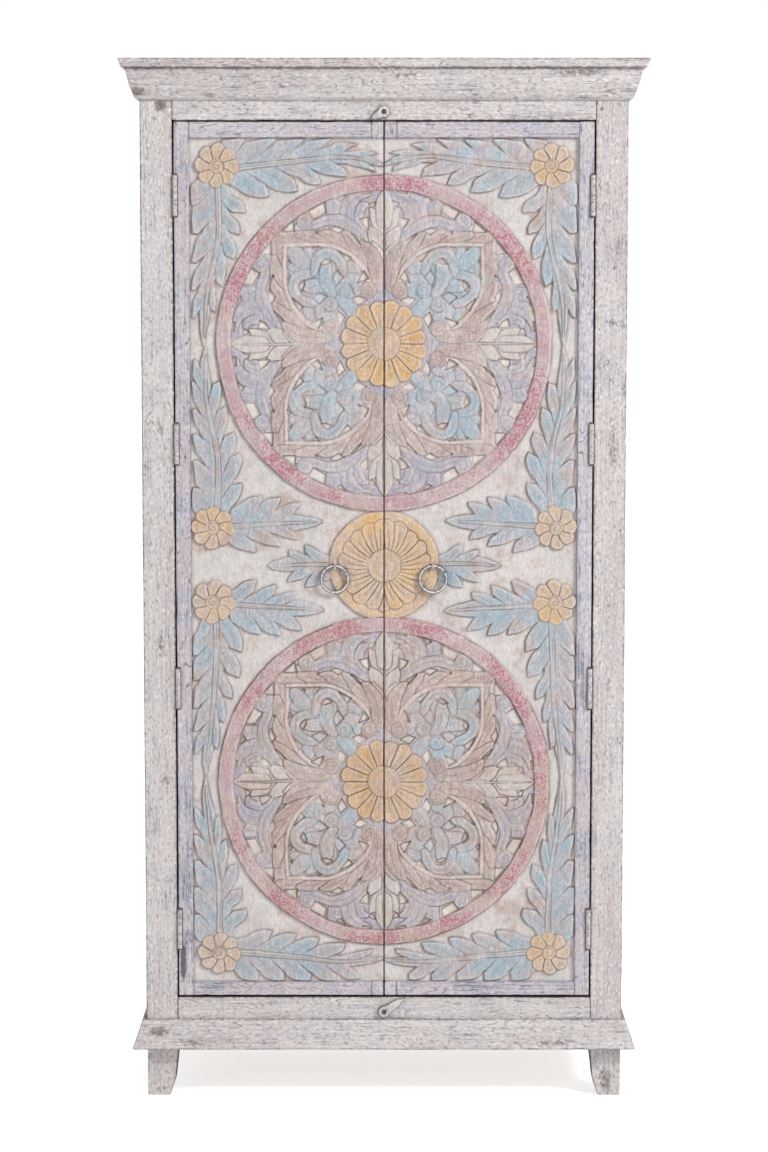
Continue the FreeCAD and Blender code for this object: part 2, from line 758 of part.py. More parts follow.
make_face_frame()
make_boards()
make_shelves()
make_stops()
make_mouldings()
make_cap()
make_feet()
make_carved_panel()
make_door_frame()
make_hinges()
make_pulls()
make_buttons()

os.makedirs("parts", exist_ok=True)
for part_name, part_shape in PARTS.items():
    part_shape.exportStep("parts/" + part_name + ".step")
    print(part_name, len(part_shape.Solids), part_shape.isValid())
print(len(PARTS), "parts")
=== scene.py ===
"""The looks of the trastero cabinet: carved and painted doors, worn whitewashed boards, mouldings and
iron."""

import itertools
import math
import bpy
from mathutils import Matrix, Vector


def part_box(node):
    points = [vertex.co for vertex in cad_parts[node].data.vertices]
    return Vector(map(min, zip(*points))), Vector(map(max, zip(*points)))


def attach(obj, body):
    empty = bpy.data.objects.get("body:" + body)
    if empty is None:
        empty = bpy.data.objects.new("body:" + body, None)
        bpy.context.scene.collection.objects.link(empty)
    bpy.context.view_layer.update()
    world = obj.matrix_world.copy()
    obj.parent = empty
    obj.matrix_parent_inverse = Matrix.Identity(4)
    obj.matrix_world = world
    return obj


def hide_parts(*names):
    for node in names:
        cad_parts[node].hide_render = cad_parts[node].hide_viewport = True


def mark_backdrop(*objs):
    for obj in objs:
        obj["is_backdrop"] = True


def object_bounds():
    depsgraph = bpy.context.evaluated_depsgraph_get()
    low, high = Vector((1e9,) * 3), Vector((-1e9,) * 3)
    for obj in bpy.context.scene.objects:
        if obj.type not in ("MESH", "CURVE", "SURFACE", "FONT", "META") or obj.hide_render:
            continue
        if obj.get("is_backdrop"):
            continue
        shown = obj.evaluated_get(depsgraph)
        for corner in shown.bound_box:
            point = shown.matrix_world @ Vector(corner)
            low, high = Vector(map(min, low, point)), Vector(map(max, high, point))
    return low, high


bl_info = {
    "name": "Trastero cabinet looks",
    "version": (1, 0, 0),
    "blender": (4, 5, 0),
    "location": "3D View > Sidebar > Trastero",
    "description": "Carves and paints the doors of the trastero cabinet and wears its boards",
    "category": "Object",
}

import bpy
import numpy as np

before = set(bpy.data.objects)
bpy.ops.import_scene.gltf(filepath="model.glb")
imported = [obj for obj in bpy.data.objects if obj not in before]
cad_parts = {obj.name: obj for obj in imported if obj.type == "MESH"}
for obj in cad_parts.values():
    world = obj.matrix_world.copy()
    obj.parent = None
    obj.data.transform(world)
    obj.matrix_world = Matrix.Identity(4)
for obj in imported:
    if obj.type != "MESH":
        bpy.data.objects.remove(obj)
loaded_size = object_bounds()


# Colours, as display values from 0 to 255

CARVED_PAINTS = {
    "ground": ((217, 212, 210), (209, 202, 199)),
    "pocket": ((230, 222, 216), (221, 208, 200)),
    "scroll": ((188, 182, 189), (172, 168, 182)),
    "palmette": ((208, 199, 196), (202, 189, 184)),
    "ogee": ((196, 178, 174), (178, 155, 150)),
    "ogee_band": ((216, 197, 193), (204, 186, 182)),
    "leaf": ((184, 178, 183), (166, 182, 194)),
    "light": ((190, 198, 208), (180, 192, 204)),
    "rib": ((194, 188, 189), (182, 186, 193)),
    "ring": ((199, 176, 178), (190, 157, 163)),
    "gold": ((203, 180, 160), (209, 176, 136)),
    "flower": ((206, 175, 143), (214, 172, 116)),
    "middle": ((202, 174, 152), (208, 174, 134)),
    "sun": ((210, 180, 150), (221, 179, 118)),
}
WASHES = {
    "whitewash": ((214, 209, 208), (206, 197, 196), (199, 196, 201), (112, 98, 96), (243, 240, 239)),
    "lilac": ((206, 202, 207), (200, 191, 196), (180, 182, 199), (104, 96, 108), (233, 230, 231)),
    "inner": ((180, 148, 114), (166, 133, 101), (168, 138, 108), (112, 84, 62), (196, 168, 136)),
    "back": ((168, 140, 112), (152, 124, 98), (160, 134, 107), (100, 78, 60), (186, 160, 132)),
    "button": ((220, 214, 212), (210, 202, 198), (200, 198, 200), (92, 80, 76), (233, 230, 231)),
}
IRONS = {
    "hinge": ((212, 205, 206), (120, 108, 110)),
    "pull": ((226, 223, 226), (70, 62, 66)),
    "screw": ((96, 88, 84), (52, 46, 44)),
}
# ridge is a painted highlight, with rubbed wear, on what stands out of the carving, and hollow is painted
# shade in what lies low beside it; the grime glaze is painted shade on the sides that face a gap between
# parts, and real grime on the back planks
GLAZES = {
    "ridge": ((228, 220, 216),),
    "hollow": ((156, 138, 132),),
    "dirt": ((170, 148, 142),),
    "line": ((92, 74, 70),),
    "chalk": ((222, 213, 211),),
    "umber": ((190, 162, 144),),
    "teal": ((176, 196, 192),),
    "dab": ((176, 84, 106),),
    "grime": ((78, 69, 66),),
}
FINISHES = (
    (CARVED_PAINTS, ("thin", "thick")),
    (WASHES, ("paint", "warm", "cool", "wood", "chalk")),
    (IRONS, ("pale", "dark")),
    (GLAZES, ("glaze",)),
)


def linear(red, green, blue):
    """A display colour, 0 to 255, as linear light: ((c + 0.055) / 1.055)^2.4, or c / 12.92 when very
    dark."""
    c = np.array([red, green, blue], float) / 255
    return np.where(c <= 0.04045, c / 12.92, ((c + 0.055) / 1.055) ** 2.4)


def colour_settings():
    """One colour setting for each part of each finish."""
    found = {}
    for table, parts in FINISHES:
        for name, tones in table.items():
            for part, tone in zip(parts, tones):
                found[f"{name}_{part}"] = bpy.props.FloatVectorProperty(
                    name=f"{name} {part}".replace("_", " ").capitalize(),
                    description=f"Colour of the {part} in {name}", default=tuple(linear(*tone)), size=3,
                    min=0.0, max=1.0, subtype="COLOR")
    return found


def chosen(name):
    """The colours set for one finish, in linear light."""
    given = bpy.context.scene.trastero_colours
    parts = next(parts for table, parts in FINISHES if name in table)
    return [np.array(getattr(given, f"{name}_{part}")) for part in parts]


# Settings


def millimetres(name, description, default, low=0.0, high=3000.0):
    """A length setting."""
    return bpy.props.FloatProperty(name=name, description=description, default=default, min=low, max=high)


class TrasteroCarving(bpy.types.PropertyGroup):
    """Where the carved elements of a door lie, in millimetres from the middle seam and the floor."""

    medallion_radius: millimetres("Medallion radius", "Outer radius of the red ring", 288.0)
    medallion_band: millimetres("Ring width", "Width of the red ring", 26.0)
    upper_medallion_z: millimetres("Upper medallion height", "Height of the upper medallion's middle", 1317.5)
    lower_medallion_z: millimetres("Lower medallion height", "Height of the lower medallion's middle", 558.0)
    sun_z: millimetres("Sun height", "Height of the sun's middle", 936.0)
    sun_radius: millimetres("Sun radius", "Radius of the sun", 95.0)
    seed: bpy.props.IntProperty(
        name="Seed", description="First seed of the hand-cut unevenness", default=11, min=0)


class TrasteroWear(bpy.types.PropertyGroup):
    """How worn the boards and the paint are."""

    arris: millimetres("Arris", "Radius of the worn arrises", 1.8, 0.2, 4.0)
    hollows: millimetres("Hollows", "Depth of the uneven hollows in a board's face", 0.45, 0.0, 2.0)
    chips: millimetres("Chips", "Depth of the chips along an arris", 1.1, 0.0, 3.0)
    station: millimetres("Station", "Distance between the sections along a board", 9.0, 3.0, 40.0)


class TrasteroColours(bpy.types.PropertyGroup):
    """The colours of the carving's paints, the washes, the irons and the glazes."""

    __annotations__ = colour_settings()


class TrasteroStage(bpy.types.PropertyGroup):
    """The camera and the lights."""

    camera_place: bpy.props.FloatVectorProperty(
        name="Camera place", description="Where the camera stands", default=(0.0, -5.1665, 1.4031),
        subtype="TRANSLATION", unit="LENGTH")
    camera_pitch: bpy.props.FloatProperty(
        name="Camera pitch", description="How far the camera looks down", default=math.radians(5.541),
        subtype="ANGLE", unit="ROTATION")
    lens: bpy.props.FloatProperty(
        name="Lens", description="Focal length in millimetres", default=90.87, min=10.0)
    ambient: bpy.props.FloatProperty(
        name="Ambient", description="Strength of the even light", default=0.47, min=0.0)
    key: bpy.props.FloatProperty(
        name="Key light", description="Power of the key light in watts", default=256.0, min=0.0)


# The frame's own places

# Hinges on a side, half the length of a hinge's knuckles, and how far a pin's head stands past them
HINGES = 4
KNUCKLE_HALF = 35.0
PIN_HEAD = 1.0


def box(name):
    """A node's lowest and highest corner in millimetres."""
    return [np.array(corner) * 1000 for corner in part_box(name)]


def hinge_line():
    """The right hinges' axis (across, depth), and the heights of the lowest and highest hinge's middle."""
    low, high = box("right_hinge_pins")
    half = KNUCKLE_HALF + PIN_HEAD
    return (low[:2] + high[:2]) / 2, low[2] + half, high[2] - half


# Meshes


def finish_of(name):
    """A finish that has been made."""
    if name not in bpy.data.materials:
        raise RuntimeError("the finish " + name + " isn't made yet")
    return bpy.data.materials[name]


def make_piece(name, points, faces, finish, body, node, attributes, sharp=35.0):
    """A closed mesh from points in millimetres that rides on its body, replaces its node and takes its
    finish. It is smooth but for edges sharper than the given angle, where there is one."""
    mesh = bpy.data.meshes.new(name)
    mesh.from_pydata(np.asarray(points) * 0.001, [], faces)
    mesh.polygons.foreach_set("use_smooth", np.ones(len(mesh.polygons), bool))
    if sharp:
        mesh.set_sharp_from_angle(angle=math.radians(sharp))
    for label, values in attributes.items():
        values = np.asarray(values, np.float32)
        kind, field = "FLOAT", "value"
        if values.ndim == 2:
            kind, field = "FLOAT_COLOR", "color"
            values = np.hstack([values, np.ones((len(values), 1), np.float32)])
        mesh.attributes.new(label, kind, "POINT").data.foreach_set(field, values.ravel())
    mesh.materials.append(finish_of(finish))
    mesh.validate()
    piece = bpy.data.objects.new(name, mesh)
    bpy.context.scene.collection.objects.link(piece)
    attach(piece, body)
    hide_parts(node)
    return piece


# Carving

# Width of a carved wall's ramp and of the cut on each side of an outline, and the depth of that cut
WALL_WIDTH = 1.5
CUT_DEPTH = 0.9

# How far paint bleeds past an outline, and how far a blade or outline is shifted by hand
BLEED = 5
SHIFT = 0.45

# Points on each side of a point that the rubbed wear and painted highlight and shade compare it with, and the
# height that counts in full
HIGHLIGHT_SHADE_REACH = 3
HIGHLIGHT_SHADE_HEIGHT = 1.1

# Heights over the ground: of the leaves, of the rosettes, and the least and most that the carving may have
LEAF_HEIGHT = 3.6
ROSETTE_HEIGHT = 4.2
LOWEST = -0.8
HIGHEST = 5.95


def smooth_noise(u, v, cell, seed):
    """Random numbers from -1 to 1 on a square lattice, joined by the smooth step 3t^2 - 2t^3."""
    rng = np.random.default_rng(seed)
    i, j = np.floor(u / cell).astype(int), np.floor(v / cell).astype(int)
    lattice = rng.uniform(-1, 1, (int(np.ptp(i)) + 2, int(np.ptp(j)) + 2))
    fu, fv = u / cell - i, v / cell - j
    fu, fv = fu * fu * (3 - 2 * fu), fv * fv * (3 - 2 * fv)
    i, j = i - i.min(), j - j.min()
    low = lattice[i, j] * (1 - fu) + lattice[i + 1, j] * fu
    high = lattice[i, j + 1] * (1 - fu) + lattice[i + 1, j + 1] * fu
    return low * (1 - fv) + high * fv


def rough_noise(u, v, cell, seed, octaves=3):
    """Lattice noise summed over octaves, each half the size and half the strength of the last."""
    return sum(smooth_noise(u, v, cell / 2 ** k, seed + k) / 2 ** k for k in range(octaves))


def smooth_line(points, count):
    """The Catmull-Rom cubic through the given rows (place and half width), as count rows."""
    p = np.asarray(points, float)
    ends = np.vstack([2 * p[0] - p[1], p, 2 * p[-1] - p[-2]])
    t = np.linspace(0, len(p) - 1, count)
    i = np.minimum(t.astype(int), len(p) - 2)
    f = (t - i)[:, None]
    a, b, c, d = ends[i], ends[i + 1], ends[i + 2], ends[i + 3]
    square, cube = 2 * a - 5 * b + 4 * c - d, 3 * b - a - 3 * c + d
    return 0.5 * (2 * b + (c - a) * f + square * f ** 2 + cube * f ** 3)


def ridge(away, half):
    """A bell exp(-(away / half)^2), 1 on a line and falling off beside it."""
    return np.exp(-(away / half) ** 2)


def eased(value, steep):
    """The value times how steep it rises, held between 0 and 1."""
    return np.clip(value * steep, 0, 1)


class Relief:
    """A carved field: at each grid point the cut height, the paint, the dark cuts and the dabs."""

    def __init__(self, across, up, seed, ground):
        self.across, self.up, self.seed = across, up, seed
        self.x, self.z = np.meshgrid(across, up, indexing="ij")
        self.wx = self.x + 1.1 * self.noise(70, 0) + 0.5 * self.noise(17, 9)
        self.wz = self.z + 1.1 * self.noise(70, 20) + 0.5 * self.noise(17, 29)
        self.patches = self.noise(46, 31) + 0.6 * self.noise(13, 35, 2)
        self.faded = np.clip(0.72 + 0.8 * self.noise(24, 60), 0.12, 1)
        self.height, self.crevice, self.speckle = (np.zeros_like(self.x) for _ in range(3))
        self.rng = np.random.default_rng(seed)
        self.paint = self.brushed(ground, (slice(None), slice(None)), 0.0)

    def noise(self, cell, step, octaves=3):
        """Lattice noise over the field, its seed a step past the field's own."""
        return rough_noise(self.x, self.z, cell, self.seed + step, octaves)

    def brushed(self, tones, win, spread):
        """Paint brushed on in patches: the second tone by the share 1/2 + 0.7 of the patch noise and a
        random shift."""
        share = np.clip(0.5 + 0.7 * self.patches[win] + spread * self.rng.uniform(-1, 1), 0, 1)[..., None]
        return tones[0] * (1 - share) + tones[1] * share

    def window(self, low, high):
        """The part of the grid from a low corner to a high one."""
        i0, i1 = np.searchsorted(self.across, (low[0], high[0]))
        j0, j1 = np.searchsorted(self.up, (low[1], high[1]))
        return slice(i0, i1), slice(j0, j1)

    def lay(self, win, gap, surface, tones, line, speckle=0.0, marks=0.0, spread=0.4):
        """Lays one carved element over what is there. gap is the distance outside its outline; the wall is
        a steep ramp, and a V-shaped cut with a dark glaze follows the outline on both sides. The paint
        bleeds past the outline in patches."""
        inside = np.clip(0.5 - gap / WALL_WIDTH, 0, 1)
        paint = self.brushed(tones, win, spread)
        for field, value in ((self.height, surface), (self.crevice, marks), (self.speckle, speckle)):
            field[win] += inside * (value - field[win])
        bleed = 0.32 * np.clip(0.5 + self.patches[win], 0, 1) * np.clip(1 - gap / BLEED, 0, 1)
        self.paint[win] += np.maximum(inside, bleed)[..., None] * (paint - self.paint[win])
        near = np.clip(1 - np.abs(gap + 0.2) / WALL_WIDTH, 0, 1) * line
        self.height[win] -= CUT_DEPTH * near
        self.crevice[win] = np.maximum(self.crevice[win], near * self.faded[win])

    def blade(self, points, height, tones, dome=0.8, count=20, vein=0.0, line=1.0, fade=0.0):
        """A leaf lobe, petal, scroll or band: a line through the points, each (across, up, half width). A
        grid point's distance to the nearest of its short straight runs, less the half width there, is the
        gap; its share q across the width gives a dome (1 - q^2), and a middle vein is a narrow bell."""
        run = smooth_line(points, count)
        run[:, :2] += self.rng.normal(0, SHIFT, 2)
        run[:, 2] = np.maximum(run[:, 2], 0.25)
        reach = run[:, 2].max() + BLEED
        win = self.window(run[:, :2].min(0) - reach, run[:, :2].max(0) + reach)
        x, z = self.wx[win][..., None], self.wz[win][..., None]
        if not x.size:
            return
        a, ab = run[:-1], np.diff(run, axis=0)
        long2 = np.maximum((ab[:, :2] ** 2).sum(1), 1e-9)
        t = np.clip(((x - a[:, 0]) * ab[:, 0] + (z - a[:, 1]) * ab[:, 1]) / long2, 0, 1)
        away = np.hypot(x - a[:, 0] - t * ab[:, 0], z - a[:, 1] - t * ab[:, 1])
        wide = a[:, 2] + t * ab[:, 2]
        near = np.argmin(away - wide, axis=-1)[..., None]
        away, wide, t = (np.take_along_axis(v, near, -1)[..., 0] for v in (away, wide, t))
        along = (near[..., 0] + t) / len(a)
        groove = vein * ridge(away, 1.1) * eased(0.9 - along, 6) * eased(along, 6)
        surface = height + dome * (1 - np.clip(away / wide, 0, 1) ** 2) - 0.8 * groove
        if fade:
            line = line * np.clip((along - 0.08) / fade, 0.12, 1)
        self.lay(win, away - wide, surface, tones, line, marks=0.75 * groove)

    def disc(self, centre, radius, height, tones, dome=0.0, ring=None, hollow=0.0, spiral=0, line=1.0,
             speckle=0.0):
        """A round element: gap is the distance from the centre less the radius, or for a ring of that half
        width, the distance from its middle circle less the half width. A spiral groove lies where r / step
        - angle / 2 pi is whole, with the step 0.55 of the radius; without a spiral the groove is a circle
        at 0.62 of the radius."""
        reach = radius + (ring or 0) + BLEED
        win = self.window(np.array(centre) - reach, np.array(centre) + reach)
        dx, dz = self.wx[win] - centre[0], self.wz[win] - centre[1]
        r = np.hypot(dx, dz)
        away, wide = (np.abs(r - radius), ring) if ring else (r, radius)
        if spiral:
            step = 0.55 * radius
            turn = r / step - spiral * np.arctan2(dz, dx) / (2 * math.pi)
            groove = hollow * ridge(((turn + 0.5) % 1 - 0.5) * step, 1.1) * (r < 0.85 * radius)
        else:
            groove = hollow * ridge(r - 0.62 * radius, 1.3)
        surface = height + dome * (1 - np.clip(away / wide, 0, 1) ** 2) - groove
        self.lay(win, away - wide, surface, tones, line, speckle, marks=0.7 * groove)

    def inside(self, outline):
        """The window round a closed outline, and in it the distance to the nearest side, negative inside
        the outline (a point is inside when a level line to its right crosses the outline an odd number of
        times)."""
        a = np.asarray(outline, float)
        win = self.window(a.min(0) - BLEED, a.max(0) + BLEED)
        x, z = self.wx[win][..., None], self.wz[win][..., None]
        b = np.roll(a, -1, 0)
        ab = b - a
        long2 = np.maximum((ab ** 2).sum(1), 1e-9)
        t = np.clip(((x - a[:, 0]) * ab[:, 0] + (z - a[:, 1]) * ab[:, 1]) / long2, 0, 1)
        away = np.hypot(x - a[:, 0] - t * ab[:, 0], z - a[:, 1] - t * ab[:, 1]).min(-1, initial=99)
        rise = np.where(ab[:, 1] == 0, 1e-9, ab[:, 1])
        crossing = ((a[:, 1] > z) != (b[:, 1] > z)) & (x < a[:, 0] + (z - a[:, 1]) * ab[:, 0] / rise)
        return win, np.where(crossing.sum(-1) % 2 == 1, -away, away)

    def worn_highlight_and_shade(self, highlight_tone, shade_tone):
        """Makes the paint pale on what stands out, as rubbed wear and painted highlight, and dark in what
        lies low, as painted shade: by the height less its mean over the points round it."""
        mean, wide = self.height, 2 * HIGHLIGHT_SHADE_REACH + 1
        for axis in (0, 1):
            count = mean.shape[axis]
            first = np.repeat(mean.take([0], axis), HIGHLIGHT_SHADE_REACH + 1, axis)
            last = np.repeat(mean.take([-1], axis), HIGHLIGHT_SHADE_REACH, axis)
            total = np.cumsum(np.concatenate([first, mean, last], axis), axis)
            mean = (total.take(range(wide, wide + count), axis) - total.take(range(count), axis)) / wide
        stands = np.clip((self.height - mean) / HIGHLIGHT_SHADE_HEIGHT, -1, 1)[..., None]
        self.paint += np.clip(stands, 0, 1) * 0.45 * (highlight_tone - self.paint)
        self.paint += np.clip(-stands, 0, 1) * 0.5 * (shade_tone - self.paint)

    def pocket(self, outline, depth, tones, line):
        """A pocket cut down to a level inside a closed outline."""
        win, gap = self.inside(np.asarray(outline, float) + self.rng.normal(0, SHIFT, 2))
        self.lay(win, gap - 0.7, depth + 0 * gap, tones, line)

    def lobe(self, back, front, root, notch, height, tones):
        """A leaf lobe between its back edge, from the rib to the tip, and its front edge, from the tip to
        the rib. It rises from its outline by the round sqrt(d (2 - d)), d the distance in 6 mm, with a
        vein from root to tip; the outline's cut fades towards the rib."""
        edges = [smooth_line([(*p, 0) for p in edge], 12)[:, :2] for edge in (back, front)]
        win, gap = self.inside(np.vstack([edges[0], edges[1][1:]]))
        tip, root = np.asarray(back[-1]), np.asarray(root)
        run = tip - root
        x, z = self.wx[win] - root[0], self.wz[win] - root[1]
        along = np.clip((x * run[0] + z * run[1]) / (run ** 2).sum(), 0, 1)
        bent = (x * run[1] - z * run[0]) / np.hypot(*run)
        vein = ridge(bent, 0.9) * eased(along, 4) * eased(0.85 - along, 4)
        side = ridge(np.abs(bent) - 4.5, 0.8) * eased(along - 0.2, 3) * eased(0.75 - along, 4)
        deep = np.clip(-gap / 6, 0, 1)
        free = np.clip(1 + 2.5 * (along - notch), 0.25, 1)
        surface = height + free * (1.2 * np.sqrt(deep * (2 - deep)) - 0.6) - 0.35 * vein - 0.2 * side
        line = np.clip(1 + 3.5 * (along - notch), 0.08, 1)
        self.lay(win, gap, surface, tones, line, marks=0.35 * vein + 0.2 * side, spread=0.18)


def flower(relief, centre, button, outer, petals, height, tones, middle, line, turn=0.0, swirl=0.0,
           flutes=0.0):
    """A rosette. With n petals a petal's half angle is w = pi / n and its round end has the radius e = 1.2
    outer sin w / (1 + sin w) about a middle at outer - e. At the angle f from the petal's middle line the
    gap is the greater of -r sin(w - |f|), to its neighbour, and past the end's middle the distance from
    there less e."""
    wide = math.pi / petals
    reach = outer + BLEED
    win = relief.window(np.array(centre) - reach, np.array(centre) + reach)
    dx, dz = relief.wx[win] - centre[0], relief.wz[win] - centre[1]
    r = np.hypot(dx, dz)
    turned = (np.arctan2(dz, dx) - turn - swirl * r) / (2 * wide)
    which = np.floor(turned).astype(int) % petals
    lengths = outer * (1 + 0.03 * relief.rng.uniform(-1, 1, petals))[which]
    off = (turned - np.floor(turned) - 0.5) * 2 * wide
    end = 1.2 * lengths * math.sin(wide) / (1 + math.sin(wide))
    past = r * np.cos(off) - (lengths - end)
    side = -r * np.sin(wide - np.abs(off))
    gap = np.where(past > 0, np.maximum(np.hypot(past, r * np.sin(off)) - end, side), side)
    deep = np.clip(-gap / 4.0, 0, 1)
    surface = height + 1.2 * np.sqrt(deep * (2 - deep)) - 0.8 * np.clip((-gap - 2.2) / 5, 0, 1)
    flute = flutes * ridge(r * np.sin(off), 1.0) * np.clip((lengths - end - r) / 6, 0, 1)
    relief.lay(win, gap, surface - 0.6 * flute, tones, line, marks=0.5 * flute)
    if button < 15:
        relief.disc(centre, button, height + 0.4, middle, dome=0.9, hollow=0.7, spiral=1, line=line)
    else:
        relief.disc(centre, button, height + 0.4, middle, dome=1.4, hollow=0.2, line=line)


def leaf(relief, rib, sides, tones, body, rib_half):
    """A long acanthus leaf: a full body along the rib, then saw-toothed lobes from the tip back to the
    base, then the rib. A lobe's outline is set in shares of its spacing behind the tip and of the tip's
    distance from the rib: its back edge swells out to the tip, its front edge is cut back to the notch and
    runs on to the rib."""
    line = smooth_line([(x, z, 0) for x, z in rib], 60)[:, :2]
    length = np.concatenate([[0], np.cumsum(np.hypot(*np.diff(line, axis=0).T))])

    def at(distance):
        distance = np.clip(distance, 0, length[-1])
        return np.array([np.interp(distance, length, line[:, k]) for k in (0, 1)])

    def along_rib(half, shape):
        return [(*at(share * length[-1]), half * wide) for share, wide in shape]

    lobes = []
    for tips, notch, hook, reach in sides:
        places = [length[np.argmin(np.hypot(*(line - np.array(tip)).T))] for tip in tips]
        gaps = np.diff([max(places[0] - (places[1] - places[0]), 0)] + places)
        lobes += [(place, np.array(tip, float), gap, notch, hook, reach)
                  for place, tip, gap in zip(places, tips, gaps)]
    core = along_rib(body, ((0, 0.8), (0.3, 1), (0.65, 0.8), (0.88, 0.5), (1, 0.12)))
    relief.blade(core, LEAF_HEIGHT - 0.4, tones["leaf"], dome=0.4, count=30)
    for place, tip, gap, notch, hook, reach in sorted(lobes, key=lambda lobe: -lobe[0]):
        gap = np.clip(gap, 24, 56) * relief.rng.uniform(0.94, 1.06)
        out = tip - at(place)

        def spot(behind, share):
            return at(place - behind * gap) + out * share

        back = [spot(2.2, 0.0), spot(1.5 + hook, notch * 0.75), spot(1 + hook, notch),
                spot(0.5 + (hook + reach) / 2, notch / 2 + 0.58), spot(reach, 1.0), spot(reach / 2, 1.03),
                tip]
        front = [tip, spot(hook * 0.6, 0.45 + 0.5 * notch), spot(hook, notch),
                 spot(0.4 + hook, notch * 0.45), spot(0.7 + hook, 0.0)]
        relief.lobe(back, front, spot(1.3, 0.0), notch, LEAF_HEIGHT, tones["leaf"])
    for half, low, strong in ((rib_half, 0.25, 0.95), (rib_half * 0.12, 0.2, 0.45)):
        points = along_rib(half, ((0, 1.2), (0.35, 1), (0.7, 0.75), (0.95, 0.4)))
        relief.blade(points, LEAF_HEIGHT + low, tones["rib"], dome=0.7, count=40, line=strong)


# The medallion's pattern, once for each half quarter: (along an axis, off it, half width), in
# PATTERN_UNITS of the ring's radius
PATTERN_UNITS = 168
SCROLL_BLADES = [
    [(146, 50, 7), (138, 50, 7.5), (127, 50, 7)],
    [(117, 24, 5.5), (128, 26, 6), (136, 23, 5), (139, 16, 2)],
    [(116, 34, 6.5), (128, 37, 7.5), (139, 34, 7.5), (146, 26, 5), (149, 14, 2)],
    [(104, 17, 2), (113, 28, 5), (121, 41, 6.3), (123, 55, 5.6), (119, 67, 5.2), (117, 78, 6), (114, 87, 5)],
]
PALMETTE_BLADES = [
    [(112, 3, 7), (124, 7, 7.5), (134, 14, 2)],
    [(92, 3, 6), (105, 8, 7.5), (116, 15, 2)],
    [(78, 1, 4), (90, 6, 5.5), (101, 11.5, 1.5)],
]
PALMETTE_TIP = [(122, 0, 8), (138, 0, 8.5), (146, 0, 5), (153, 0, 0.8)]
PALMETTE_STEM = [(74, 0, 1.4), (100, 0, 1.2), (130, 0, 1.0), (150, 0, 0.5)]
OGEE_LOBES = [
    [(105, 80, 7), (106, 93, 7), (107, 106, 6)],
    [(101, 55, 7), (106, 70, 7), (109, 86, 4)],
    [(96, 33, 6.5), (103, 45, 7.5), (109, 57, 4.5), (110, 64, 1.5)],
    [(83, 17, 6), (95, 25, 7.5), (105, 34, 5.5), (111, 41, 1.5)],
    [(57, 7, 5.5), (72, 7, 7), (86, 10, 7.5), (97, 17, 5), (101, 23, 1.5)],
]
OGEE_BAND = [(60, 15, 2.6), (72, 18, 2.8), (81, 25, 2.8), (89, 34, 2.5), (95, 45, 2.3), (98.5, 58, 2.2),
             (99, 72, 2.2), (98.5, 98.5, 2.2)]
BLUE_OUTLINE = [(96, 96), (96, 60), (91, 45), (84, 34), (75, 25), (62, 22), (48, 24), (36, 36)]
ACANTHUS_BLADES = [
    [(74, 75, 4.5), (84, 75, 4.5), (92, 76, 4)],
    [(74, 43, 5), (76, 35, 6), (74.5, 27, 5)],
    [(64, 40, 5), (65, 33, 6), (61, 28, 6), (52, 27, 4)],
    [(50, 52, 5), (60, 58, 6.5), (69, 58.5, 7), (76, 57.5, 6)],
    [(72, 41, 4.5), (81, 43, 5.3), (89, 50, 5.3), (91, 58.5, 5.3), (87, 66, 5.3), (79, 69, 5),
     (71, 70.5, 4)],
]
ACANTHUS_MIDDLE = [
    [(70, 70, 5), (82, 82, 8), (91, 91, 6)],
    [(28, 28, 6), (42, 42, 5.5), (56, 56, 4.5), (68, 68, 2)],
]
KNOBS = [((122, 79), 8, "scroll"), ((53.5, 15.5), 8, "ogee"), ((53.5, 40), 7.5, "leaf")]
POCKETS = [
    [(152, 13), (151.5, 22), (149, 22), (149.5, 14)],
    [(147.5, 39), (143, 48), (141, 44)],
    [(140.5, 60), (132, 75.5), (124, 70.5), (131, 59)],
    [(122, 90), (112, 101.5), (112, 88.5)],
    [(113, 40), (115.5, 47), (114.5, 54), (109, 46)],
    [(99.5, 23), (108, 30), (109.5, 33), (102, 27)],
    [(126, 16.5), (124, 24.5), (118.5, 21.5), (114.5, 15.5)],
    [(142, 8.5), (139.5, 15.5), (136, 12)],
    [(112, 66), (111, 68.5), (109.5, 67)],
    [(85.5, 32.5), (91.5, 45), (81, 36.5)],
    [(97, 65), (96, 71), (93.5, 68)],
    [(95.5, 82), (94, 84), (93.5, 81)],
    [(73, 20), (61, 26), (65, 15.5)],
    [(43, 17), (47, 25), (45, 32), (38.5, 26)],
    [(82, 52.5), (84.5, 57.5), (80, 63.5), (79, 59), (80.5, 56)],
]
LIGHT_POCKETS = [[(73, 46.5), (65.5, 50.5), (58, 48), (65.5, 40)]]


